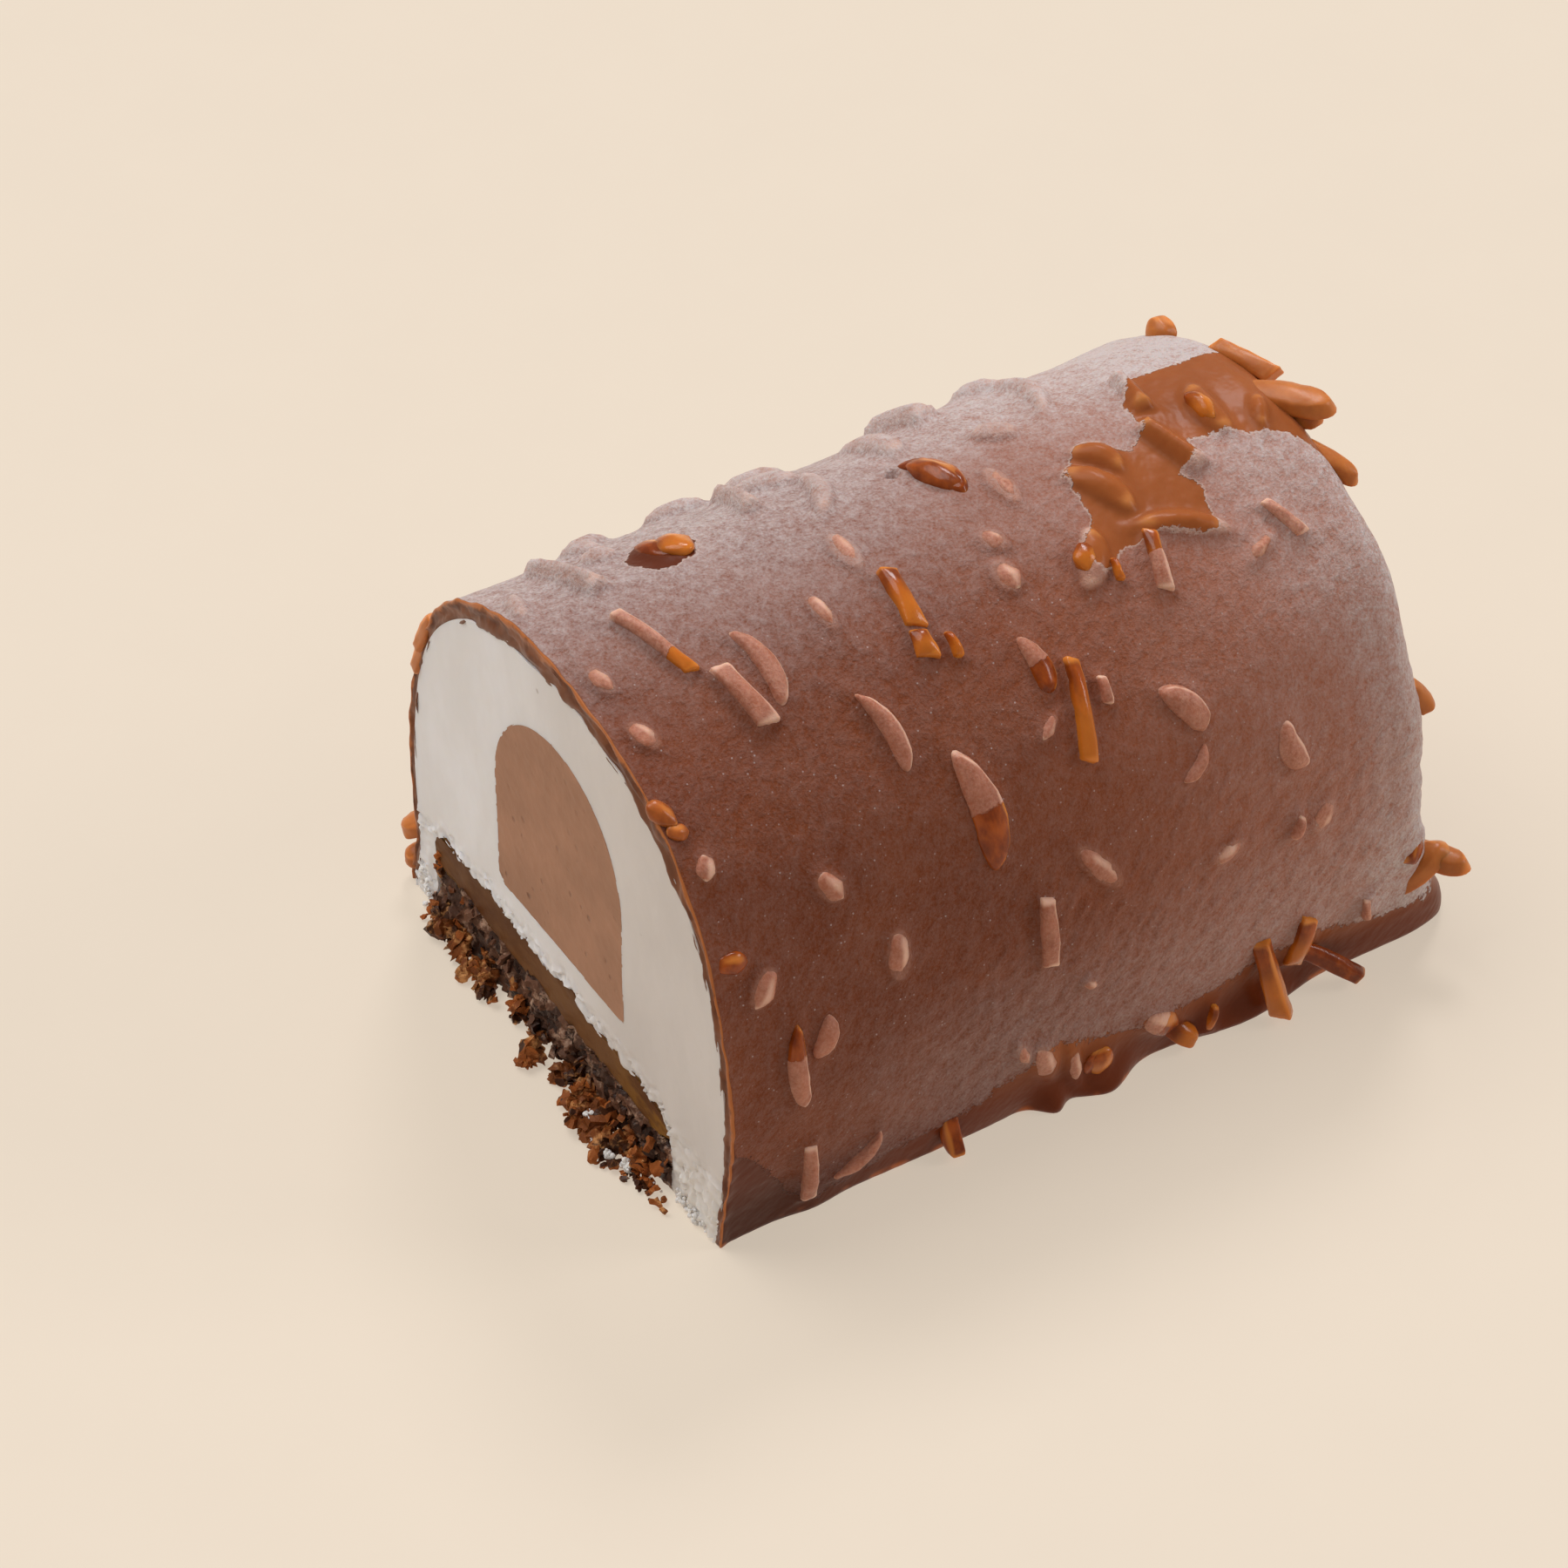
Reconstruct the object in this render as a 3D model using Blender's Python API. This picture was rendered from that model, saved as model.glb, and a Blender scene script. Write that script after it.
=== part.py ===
"""Half of an ice cream log, cut across and standing on its base.

A log of vanilla ice cream holds a chocolate ice cream core and stands on a layer of
caramel over a crumbly biscuit base. Milk chocolate with chopped almonds coats the top,
both sides and the far end. The near end is the knife cut, where every layer shows.

Frame: +Z is up, the floor is z = 0, and the log lies along Y with its cut face towards -Y.
The origin is on the underside of the biscuit, halfway along the log.
"""

import math
import random

import bmesh
import bpy
import numpy as np
from mathutils import Matrix, Vector, noise

# All sizes and places below are in millimetres. MM turns them into Blender's metres.
MM = 0.001

# The log's outline: an arch swept from the cut face to the rounded far end.
LOG_WIDTH = 80.0
LOG_HEIGHT = 69.5
LOG_LENGTH = 106.0
END_RADIUS = 6.0  # rounding between the barrel and the far end
ARCH_FULLNESS = 1.81  # exponents of the arch: how full its top and its shoulders are
ARCH_SHOULDER = 3.94
FOOT_TUCK = 3.1  # how far each side draws in at the floor
TUCK_HEIGHT = 27.0

# The left foot was pushed outwards where the knife came down.
FLARE_REACH = 4.0
FLARE_LENGTH = 7.0
FLARE_HEIGHT = 6.0

# The coating: thin on the sides and thick over the ridge, with an uneven inside.
COAT_SIDE = 1.5
COAT_RIDGE_EXTRA = 3.0
COAT_RIDGE_SPREAD = 21.0
COAT_RIPPLE = 0.9
COAT_RIPPLE_LENGTH = 5.5
COAT_RIPPLE_SEED = 6.2
WAVE_HEIGHT = 1.1  # slow unevenness of the poured chocolate
WAVE_LENGTH = 24.0
WAVE_BREADTH = 19.0
WAVE_SEED = 140.0
RIPPLE_HEIGHT = 0.2
RIPPLE_LENGTH = 8.0
RIPPLE_SEED = 9.1

# Chocolate that pooled round the foot: (side, along the log, reach, half breadth).
POOLS = (
    (1, 14.0, 0.7, 4.0),
    (1, 48.6, 2.6, 2.2),
    (1, 56.5, 3.2, 4.6),
    (1, 80.0, 2.4, 9.5),
    (-1, 34.0, 2.6, 4.5),
    (-1, 71.0, 3.2, 3.5),
    (-1, 88.0, 1.8, 5.0),
)
POOL_DEPTH = 3.2
END_POOL_REACH = 6.0  # the foot of the far end spreads the most
END_POOL_DEPTH = 10.0
END_LEAN = 1.8  # above it the far end leans out towards the floor
END_LEAN_HEIGHT = 45.0
END_POOL_RISE = 6.0  # both start this far before the rounded edge

# The layers at the cut.
GAP = 0.3  # clearance between neighbouring layers
CORE_CENTRE = -1.2
CORE_WIDTH = 31.0
CORE_FLOOR = 20.0
CORE_SHOULDER = 38.0  # height where the core's sides turn into its round top
CORE_TOP = 55.0
CORE_SHORT_OF_END = 10.0
BASE_LEFT = -34.0
BASE_RIGHT = 25.5
BISCUIT_TOP_LEFT = 9.4
BISCUIT_TOP_RIGHT = 7.6
CARAMEL_TOP_LEFT = 15.6
CARAMEL_TOP_RIGHT = 12.6
BASE_SHORT_OF_END = 7.0
CARAMEL_RIPPLE = 1.1
CARAMEL_RIPPLE_LENGTH = 4.0
CARAMEL_RIPPLE_SEED = 1.3
CARAMEL_TAPER = 4.0  # the caramel thins out this far from either edge
CARAMEL_THINNING = 3.2
CRAG_DEPTH = 1.3
CRAG_LENGTH = 2.3
CRAG_HEIGHTS = (2.0, 4.2, 6.3)
CRAG_COLUMNS = 24
CORE_END = LOG_LENGTH - CORE_SHORT_OF_END
BASE_END = LOG_LENGTH - BASE_SHORT_OF_END

# Crumbs that cling to the foot of the cut biscuit: (x, how far in front, height, radius).
CRUMB_SEED = 5
CLINGING_CRUMBS = (
    (-30.0, 0.6, 2.4, 2.6),
    (-26.0, 1.2, 1.6, 2.3),
    (-20.0, 1.0, 1.5, 2.2),
    (-11.0, 0.8, 1.6, 1.8),
    (2.0, 1.4, 1.2, 2.0),
    (6.5, 1.8, 1.4, 2.6),
    (11.5, 2.4, 1.6, 2.9),
    (16.0, 2.2, 1.3, 2.5),
    (20.5, 1.6, 1.2, 2.2),
)

# Crumbs of ice cream at the foot of the cut, in the same terms.
SNOW_SEED = 8
CLINGING_SNOW = (
    (27.9, 0.3, 0.9, 1.3),
    (30.0, 0.2, 0.8, 1.5),
    (32.3, 0.3, 0.9, 1.4),
    (-36.2, 0.3, 1.4, 1.3),
    (-37.4, 0.2, 4.2, 1.2),
)

CRUMB_JITTER = (0.7, 1.15)  # how unevenly a crumb's corners stand out

# Chopped almonds. A piece is embedded by EMBED and stands proud of the chocolate.
EMBED = 0.9
SLIVER_PROUD = 1.3
SLICE_PROUD = 0.9
CHIP_PROUD = 0.9
SLIVER_THIN_END = 0.76  # a sliver's thin end against its thick one
SLICE_TOP = 0.84  # a slice's top against its underside
CHIP_JITTER = (0.85, 1.1)
BEND_SHARE = 0.7  # how far a piece follows the arch's curve
ARCH_BEND_RADIUS = 36.0

# Slivers: (along, round, length, width, turn). "Along" is measured over the coating from
# the cut, "round" from the ridge down the right-hand side, and a turn of 90 degrees points
# a piece straight down that side.
SLIVERS = (
    (12.0, 3.0, 13.0, 2.0, 74),
    (42.0, 13.0, 12.5, 2.9, 95),
    (45.0, 19.0, 3.5, 1.3, 89),
    (57.2, 32.3, 13.0, 2.4, 103),
    (86.0, 80.6, 9.0, 3.3, 99),
    (75.3, 19.0, 8.0, 2.4, 103),
    (93.6, 20.3, 6.5, 1.8, 66),
    (87.5, -5.7, 7.5, 1.8, 99),
    (86.2, 5.3, 9.0, 2.1, 71),
    (69.7, 18.2, 3.0, 1.2, 98),
    (46.3, 58.5, 10.5, 2.6, 91),
    (11.8, 82.5, 12.0, 2.3, 85),
    (72.7, 88.0, 5.0, 1.3, 98),
    (83.8, 59.3, 3.3, 1.3, 112),
    (96.4, 80.0, 4.0, 1.3, 84),
    (10.9, -17.0, 14.0, 2.1, 81),
    (17.7, 14.6, 9.5, 3.0, 77),
    (37.0, -19.5, 10.5, 1.9, 94),
    (61.2, 31.2, 3.6, 1.6, 97),
    (65.1, -26.4, 9.5, 3.2, 67),
)

# Slices: (along, round, length, width, turn, bow).
SLICES = (
    (21.6, 12.0, 13.0, 3.3, 86, 1.6),
    (58.0, -6.0, 13.0, 3.8, 73, 1.6),
    (32.0, 25.5, 13.0, 3.0, 80, 1.5),
    (40.2, 39.0, 18.0, 5.2, 85, 1.3),
    (19.3, 84.0, 10.0, 3.0, 135, 1.4),
    (84.4, 47.4, 8.5, 4.0, 76, -1.2),
    (70.8, 37.2, 9.4, 4.2, 56, 0.8),
    (70.3, 44.4, 6.2, 2.0, 132, 1.0),
    (13.8, 59.4, 6.8, 3.4, 114, 0.8),
    (10.0, 62.5, 14.5, 3.3, 90, -1.0),
    (54.1, 25.0, 9.2, 3.5, 82, 0.9),
    (79.0, -18.0, 14.0, 2.2, 94, 1.4),
    (76.8, 2.7, 6.2, 2.8, 54, 0.8),
    (74.3, 7.0, 9.0, 3.3, 63, 0.6),
    (81.0, 15.0, 9.5, 5.2, 25, 0.8),
    (93.9, 2.0, 8.0, 3.3, 91, -0.6),
    (67.6, 15.6, 7.5, 3.6, 121, 0.6),
    (57.5, -19.5, 9.5, 4.0, 75, 0.8),
    (45.0, -12.5, 10.0, 2.5, 108, 0.8),
    (104.5, 74.0, 6.0, 5.0, 0, 0.5),
)

# Chips: (along, round, length, width, turn).
CHIPS = (
    (22.8, -14.4, 8.0, 4.2, 75),
    (18.0, -27.0, 5.0, 3.0, 60),
    (17.0, -19.5, 4.0, 3.4, 30),
    (42.5, -22.0, 8.0, 4.0, 50),
    (33.0, -30.0, 7.0, 4.0, 20),
    (40.5, 1.1, 6.8, 2.8, 90),
    (32.2, 8.7, 5.4, 2.2, 83),
    (3.4, 5.0, 4.4, 2.2, 78),
    (4.0, 14.2, 4.6, 2.8, 64),
    (2.6, -14.0, 5.0, 1.8, 106),
    (69.6, -9.8, 5.0, 3.4, 40),
    (63.8, 0.7, 6.6, 2.8, 89),
    (57.6, 8.2, 3.6, 2.8, 48),
    (56.4, 13.3, 4.6, 3.6, 81),
    (3.4, 32.0, 3.2, 2.6, 113),
    (18.2, 40.2, 4.6, 3.4, 58),
    (25.3, 52.5, 6.6, 3.6, 96),
    (3.2, 44.2, 4.6, 3.0, 16),
    (54.7, 52.6, 8.8, 3.1, 54),
    (73.5, 58.6, 4.6, 2.8, -20),
    (88.0, 59.5, 4.6, 3.0, 120),
    (6.6, 49.2, 5.4, 3.6, 126),
    (43.2, 78.2, 4.4, 1.8, 70),
    (46.8, 81.7, 7.5, 3.2, 73),
    (51.4, 85.0, 8.0, 1.9, 79),
    (55.0, 86.4, 5.4, 4.6, 90),
    (64.8, 84.4, 8.5, 4.2, 38),
    (88.9, 22.6, 4.4, 1.8, 153),
    (52.2, 32.8, 3.4, 1.6, 141),
    (99.6, 5.4, 4.0, 1.6, 115),
    (52.4, 70.0, 2.2, 1.6, 40),
    (20.8, -32.0, 5.2, 4.2, 10),
    (44.5, -30.0, 7.4, 4.8, 20),
    (77.5, -27.5, 6.0, 3.4, 40),
)

# Pieces that stand out past the coating: (where they start, where they end, width, roll in
# degrees), each place as distance along the log from the cut, distance right of the middle
# and height.
OUTSTANDING = (
    ((101.0, -1.5, 68.4), (108.8, 9.6, 68.7), 4.2, 0),
    ((103.5, 1.5, 67.0), (107.6, 8.4, 66.6), 4.6, 0),
    ((101.2, -19.9, 61.6), (103.0, -19.9, 66.6), 5.0, 0),
    ((104.8, -10.2, 68.4), (106.8, -1.2, 67.0), 3.4, 30),
    ((104.4, 8.4, 65.4), (108.2, 16.8, 62.2), 2.8, 0),
    ((104.8, 33.0, 41.4), (107.6, 34.4, 37.0), 2.8, 0),
    ((101.5, 36.2, 8.6), (109.4, 38.2, 15.8), 5.0, 0),
    ((106.5, 33.0, 12.5), (110.6, 42.2, 13.8), 4.2, 0),
    ((86.0, 37.0, 8.5), (95.0, 41.2, 1.2), 2.2, 0),
    ((79.8, 38.0, 14.0), (82.3, 40.4, 0.8), 3.4, 90),
    ((33.6, 36.6, 6.2), (33.4, 39.4, 0.8), 2.8, 90),
    ((66.4, 37.4, 4.6), (70.4, 39.4, 1.2), 3.2, 0),
    ((5.0, -38.4, 10.8), (-0.4, -44.6, 7.0), 4.2, 0),
    ((4.0, -41.0, 4.2), (-1.0, -42.6, 2.6), 3.4, 0),
    ((4.0, -35.4, 48.0), (-4.0, -36.0, 47.4), 5.0, 90),
    ((3.0, -37.0, 43.4), (-3.0, -37.4, 42.6), 2.8, 90),
)

OUTSTANDING_THICKNESS = 1.9

# Almonds on the far side and the far end, spread by a seeded draw: how far apart they are,
# how far they keep from the cut and the foot, and where they begin and stop.
SCATTER_SEED = 11
SCATTER_COUNT = 52
SCATTER_SPACING = 8.0
SCATTER_TRIES = 4000
SCATTER_FROM_CUT = 3.0
SCATTER_FROM_FOOT = 3.0
SCATTER_FAR_SIDE = -46.0
SCATTER_OVER_EDGE = 4.0
SCATTER_DOWN_END = 28.0
SLIVER_SHARE = 0.3
SLICE_SHARE = 0.35
SLIVER_LENGTHS = (5.0, 12.0)
SLIVER_WIDTHS = (1.8, 2.8)
SLICE_LENGTHS = (7.0, 13.0)
SLICE_WIDTHS = (2.8, 4.2)
SLICE_BOWS = (-1.2, 1.4)
CHIP_LENGTHS = (3.0, 6.5)
CHIP_WIDTHS = (2.2, 4.0)

# Colours.
MILK_CHOCOLATE = (0.150, 0.050, 0.028)
VANILLA = (0.60, 0.52, 0.45)
CHOCOLATE_ICE_CREAM = (0.32, 0.18, 0.11)
CARAMEL = (0.10, 0.045, 0.018)
BISCUIT = (0.085, 0.035, 0.015)

# How finely the solids are cut.
ROW_PITCH = 3.1
EDGE_ROWS = 4  # rows over the rounded edge, then down the far end
END_ROWS = 6
FOOT_COLUMNS = (0.0, 1.6, 4.0, 7.5, 12.0)
COLUMN_PITCH = 6.4
INNER_ROW_PITCH = 30.0
INNER_EDGE_ROWS = 3
INNER_END_ROWS = 2
INNER_FRONT_ROWS = (0.0, 4.0, 8.0, 13.0)
INNER_FOOT_COLUMNS = (0.0, 4.0, 9.0)
INNER_COLUMN_PITCH = 4.2
END_CLOSING = 6.0  # half width of the last arch on the far end, closed by one face
CORE_TOP_STEPS = 16
CORE_CORNER = 1.4
BAND_STEPS = 28
BEYOND = 3.0  # how far raw shapes run past the floor and the cut before they are trimmed
TABLE_STEPS = 801
NORMAL_STEP = 0.5
FLAT_FOOT = 1.0  # below this height the unevenness moves the coat level, not up or down
LEAST_LEVEL = 0.2
BIG = 400.0
WELD = 1e-6
SMOOTH_ANGLE = math.radians(40)


def arch_table():
    """The arch's outline as x, z and the distance walked from the ridge."""
    lean = np.sin(np.linspace(-1.0, 1.0, TABLE_STEPS) * math.pi / 2)
    height = LOG_HEIGHT * (1 - np.abs(lean) ** ARCH_FULLNESS) ** (1 / ARCH_SHOULDER)
    tuck = FOOT_TUCK * np.clip(1 - height / TUCK_HEIGHT, 0.0, 1.0) ** 2
    across = lean * (LOG_WIDTH / 2 - tuck)
    steps = np.hypot(np.diff(across), np.diff(height))
    walked = np.concatenate([[0.0], np.cumsum(steps)])
    return across, height, walked - walked[-1] / 2


ARCH_X, ARCH_Z, ARCH_ROUND = arch_table()
GIRTH = ARCH_ROUND[-1]  # distance from the ridge down to either foot
STRAIGHT = LOG_LENGTH - END_RADIUS
OVER_EDGE = END_RADIUS * math.pi / 2


def over_the_end(along, inset):
    """(distance along the log, distance inside the outline) of a point on the skin."""
    straight = STRAIGHT - inset
    if along <= straight:
        return along, inset
    if along <= straight + OVER_EDGE:
        turn = (along - straight) / END_RADIUS
        return straight + END_RADIUS * math.sin(turn), inset + END_RADIUS * (1 - math.cos(turn))
    return LOG_LENGTH - inset, inset + END_RADIUS + along - straight - OVER_EDGE


def skin_point(along, around, inset=0.0):
    """A point on the smooth outline, or on a smaller one inside it."""
    y, sunk = over_the_end(along, inset)
    x = np.interp(around, ARCH_ROUND, ARCH_X) * (1 - sunk / (LOG_WIDTH / 2))
    z = np.interp(around, ARCH_ROUND, ARCH_Z) * (1 - sunk / LOG_HEIGHT)
    if around < 0:
        x -= FLARE_REACH * math.exp(-((along / FLARE_LENGTH) ** 2) - (z / FLARE_HEIGHT) ** 2)
    return Vector((x, y - LOG_LENGTH / 2, z))


def skin_frame(along, around):
    """The skin's point, outward normal, direction along the log and direction round it."""
    step = NORMAL_STEP
    here = skin_point(along, around)
    on = skin_point(along + step, around) - skin_point(along - step, around)
    down = skin_point(along, around + step) - skin_point(along, around - step)
    normal = down.cross(on).normalized()
    on = (on - normal * on.dot(normal)).normalized()
    return here, normal, on, on.cross(normal)


def wave(along, around):
    """How far the poured chocolate stands above the smooth outline."""
    slow = noise.noise(Vector((along / WAVE_LENGTH, around / WAVE_BREADTH, WAVE_SEED)))
    quick = noise.noise(Vector((along / RIPPLE_LENGTH, around / RIPPLE_LENGTH, RIPPLE_SEED)))
    return WAVE_HEIGHT * slow + RIPPLE_HEIGHT * quick


def pool_reach(along, around, height):
    """How far the foot of a side spreads over the floor."""
    reach = 0.0
    for side, place, most, breadth in POOLS:
        if side * around > 0:
            reach += most * math.exp(-(((along - place) / breadth) ** 2))
    return reach * math.exp(-((height / POOL_DEPTH) ** 2))


def end_reach(along, height):
    """How far the foot of the far end spreads over the floor."""
    share = (along - STRAIGHT + END_POOL_RISE) / (END_POOL_RISE + OVER_EDGE / 2)
    share = min(max(share, 0.0), 1.0)
    pool = END_POOL_REACH * math.exp(-((height / END_POOL_DEPTH) ** 2))
    lean = END_LEAN * max(1 - height / END_LEAN_HEIGHT, 0.0)
    return (pool + lean) * share**2 * (3 - 2 * share)


def coat_depth(around):
    """The coating's thickness, which changes round the arch."""
    ridge = math.exp(-((around / COAT_RIDGE_SPREAD) ** 2))
    ripple = noise.noise(Vector((around / COAT_RIPPLE_LENGTH, COAT_RIPPLE_SEED, 0.0)))
    return COAT_SIDE + ridge * (COAT_RIDGE_EXTRA + COAT_RIPPLE * ripple)


def coat_surface(along, around):
    """A point on the outside of the coating."""
    here, normal, _, _ = skin_frame(along, around)
    level = Vector((normal.x, normal.y, 0.0))
    lift = wave(along, around) * (normal if here.z > FLAT_FOOT else level)
    outwards = level / max(abs(level.x) + abs(level.y), LEAST_LEVEL)
    pool = outwards * pool_reach(along, around, here.z)
    return here + lift + pool + Vector((0.0, end_reach(along, here.z), 0.0))


def ice_cream_surface(clearance):
    """Returns the function for a point on the inside of the coating, or clear of it."""

    def point(along, around):
        _, normal, _, _ = skin_frame(along, around)
        return skin_point(along, around, coat_depth(around)) - normal * clearance

    return point


def columns(pitch, foot_columns):
    """Distances round the arch: set ones at each foot, even ones in between."""
    side = [GIRTH - step for step in foot_columns]
    middle = max(2, round(2 * side[-1] / pitch))
    even = [side[-1] * (2 * k / middle - 1) for k in range(1, middle)]
    return [-step for step in side] + even + side[::-1]


def rows(before, front_rows, pitch, edge_rows, end_rows):
    """Distances along the skin: the barrel, the rounded edge, then down the far end."""
    start = front_rows[-1]
    count = round((STRAIGHT - start) / pitch)
    barrel = [start + (STRAIGHT - start) * k / count for k in range(1, count)]
    edge = [STRAIGHT + OVER_EDGE * k / edge_rows for k in range(edge_rows + 1)]
    drop = LOG_WIDTH / 2 - END_RADIUS - END_CLOSING
    end = [edge[-1] + drop * k / end_rows for k in range(1, end_rows + 1)]
    return [-before, *front_rows, *barrel, *edge, *end]


def new_object(name, bm, collection):
    """Turns a bmesh in millimetres into an object in metres."""
    bmesh.ops.triangulate(bm, faces=bm.faces)
    bmesh.ops.recalc_face_normals(bm, faces=bm.faces)
    if bm.calc_volume(signed=True) < 0:
        bmesh.ops.reverse_faces(bm, faces=bm.faces)
    bm.transform(Matrix.Scale(MM, 4))
    mesh = bpy.data.meshes.new(name)
    bm.to_mesh(mesh)
    bm.free()
    obj = bpy.data.objects.new(name, mesh)
    collection.objects.link(obj)
    return obj


def wrap_log(name, surface, arounds, alongs, below, collection):
    """A grid wrapped over the log, carried down past the floor on both sides, and closed."""
    last_column, last_row = len(arounds) + 1, len(alongs) - 1
    bm = bmesh.new()
    bmesh.ops.create_grid(bm, x_segments=last_column, y_segments=last_row, size=1.0)
    at = {}
    for vert in bm.verts:
        column = round((vert.co.x + 1) / 2 * last_column)
        row = round((vert.co.y + 1) / 2 * last_row)
        around = arounds[min(max(column - 1, 0), len(arounds) - 1)]
        vert.co = surface(alongs[row], around)
        if column in (0, last_column):
            vert.co.z = -below
        at[column, row] = vert
    bm.faces.new([at[column, 0] for column in range(last_column + 1)])
    for column in range((last_column - 1) // 2 + 1):
        across = last_column - column
        ring = [at[column, last_row], at[column + 1, last_row]]
        ring += [at[across - 1, last_row], at[across, last_row]]
        if across - column > 1:
            bm.faces.new(ring if across - column > 2 else ring[:2] + ring[3:])
    left = [at[0, row] for row in range(last_row + 1)]
    right = [at[last_column, row] for row in range(last_row + 1)]
    bm.faces.new(left + right[::-1])
    return new_object(name, bm, collection)


def prism(name, outline, front, back, collection):
    """An outline of (x, z) points extruded along the log, from front to back."""
    bm = bmesh.new()
    verts = [bm.verts.new((x, front - LOG_LENGTH / 2, z)) for x, z in outline]
    face = bmesh.ops.contextual_create(bm, geom=verts)["faces"]
    grown = bmesh.ops.extrude_face_region(bm, geom=face)["geom"]
    moved = [item for item in grown if isinstance(item, bmesh.types.BMVert)]
    bmesh.ops.translate(bm, verts=moved, vec=(0.0, back - front, 0.0))
    return new_object(name, bm, collection)


def block(name, low, high, collection):
    """A plain box between two corners."""
    bm = bmesh.new()
    bmesh.ops.create_cube(bm, size=1.0)
    low, high = Vector(low), Vector(high)
    bmesh.ops.scale(bm, vec=high - low, verts=bm.verts)
    bmesh.ops.translate(bm, vec=(low + high) / 2, verts=bm.verts)
    return new_object(name, bm, collection)


def apply_modifiers(obj):
    """Replaces an object's mesh by what its modifiers make of it."""
    graph = bpy.context.evaluated_depsgraph_get()
    mesh = bpy.data.meshes.new_from_object(obj.evaluated_get(graph))
    obj.modifiers.clear()
    obj.data = mesh


def boolean(obj, operation, other, solver="EXACT"):
    """Joins, cuts or trims obj with an object or with everything in a collection.

    The coating with its many almonds, and layers with crumbs, take the MANIFOLD solver,
    because the exact one leaves them empty.
    """
    modifier = obj.modifiers.new(operation.lower(), "BOOLEAN")
    modifier.operation = operation
    modifier.solver = solver
    if isinstance(other, bpy.types.Collection):
        modifier.operand_type = "COLLECTION"
        modifier.collection = other
    else:
        modifier.object = other
    apply_modifiers(obj)


def keep_main_body(obj):
    """Drops loose scraps, and the shells of hollows that joining has sealed."""
    bm = bmesh.new()
    bm.from_mesh(obj.data)
    unseen, bodies = set(bm.verts), []
    while unseen:
        body, front = set(), [unseen.pop()]
        while front:
            vert = front.pop()
            body.add(vert)
            linked = {edge.other_vert(vert) for edge in vert.link_edges} & unseen
            unseen -= linked
            front.extend(linked)
        bodies.append(body)
    main = max(bodies, key=len)
    bmesh.ops.delete(bm, geom=[vert for vert in bm.verts if vert not in main], context="VERTS")
    bm.to_mesh(obj.data)
    bm.free()


def sliver(length, width, proud):
    """A slivered almond: an eight-sided stick that narrows a little to one end."""
    bm = bmesh.new()
    thin = SLIVER_THIN_END / 2
    bmesh.ops.create_cone(bm, cap_ends=True, segments=8, radius1=0.5, radius2=thin, depth=1.0)
    bmesh.ops.rotate(bm, matrix=Matrix.Rotation(-math.pi / 2, 3, "Y"), verts=bm.verts)
    bmesh.ops.scale(bm, vec=(length, width, proud + EMBED), verts=bm.verts)
    bmesh.ops.translate(bm, vec=(0.0, 0.0, (proud - EMBED) / 2), verts=bm.verts)
    return bm


def almond_slice(length, width, bow, proud):
    """A slice of almond lying flat: a thin oval, bowed sideways."""
    bm = bmesh.new()
    top = SLICE_TOP / 2
    bmesh.ops.create_cone(bm, cap_ends=True, segments=10, radius1=0.5, radius2=top, depth=1.0)
    bmesh.ops.scale(bm, vec=(length, width, proud + EMBED), verts=bm.verts)
    bmesh.ops.translate(bm, vec=(0.0, 0.0, (proud - EMBED) / 2), verts=bm.verts)
    for vert in bm.verts:
        vert.co.y += bow * (0.5 - (2 * vert.co.x / length) ** 2)
    return bm


def chip(length, width, proud, draw):
    """A broken bit: a small faceted lump."""
    bm = bmesh.new()
    bmesh.ops.create_icosphere(bm, subdivisions=1, radius=0.5)
    for vert in bm.verts:
        vert.co *= draw.uniform(*CHIP_JITTER)
    bmesh.ops.scale(bm, vec=(length, width, proud + EMBED), verts=bm.verts)
    bmesh.ops.translate(bm, vec=(0.0, 0.0, (proud - EMBED) / 2), verts=bm.verts)
    return bm


def lay_on_coat(name, bm, along, around, turn, collection):
    """Lays a piece on the coating, turned about the surface's normal and bent round the arch."""
    here, normal, on, down = skin_frame(along, around)
    here = here + normal * wave(along, around)
    heading = math.radians(turn)
    for vert in bm.verts:
        off = vert.co.x * math.sin(heading) + vert.co.y * math.cos(heading)
        vert.co.z -= BEND_SHARE * off * off / (2 * ARCH_BEND_RADIUS)
    ahead = on * math.cos(heading) + down * math.sin(heading)
    turned = Matrix((ahead, normal.cross(ahead), normal)).transposed().to_4x4()
    bm.transform(Matrix.Translation(here) @ turned)
    return new_object(name, bm, collection)


def stand_out(name, start, end, width, roll, collection):
    """A slice that runs from the coating out past its edge, rolled about its length."""
    start, end = (Vector((x, along - LOG_LENGTH / 2, z)) for along, x, z in (start, end))
    bm = almond_slice((end - start).length, width, 0.0, OUTSTANDING_THICKNESS - EMBED)
    bmesh.ops.translate(bm, verts=bm.verts, vec=(0.0, 0.0, EMBED - OUTSTANDING_THICKNESS / 2))
    bm.transform(Matrix.Rotation(math.radians(roll), 4, "X"))
    ahead = (end - start).normalized()
    beside = Vector((0.0, 0.0, 1.0)).cross(ahead).normalized()
    turned = Matrix((ahead, beside, ahead.cross(beside))).transposed().to_4x4()
    bm.transform(Matrix.Translation((start + end) / 2) @ turned)
    return new_object(name, bm, collection)


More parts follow.
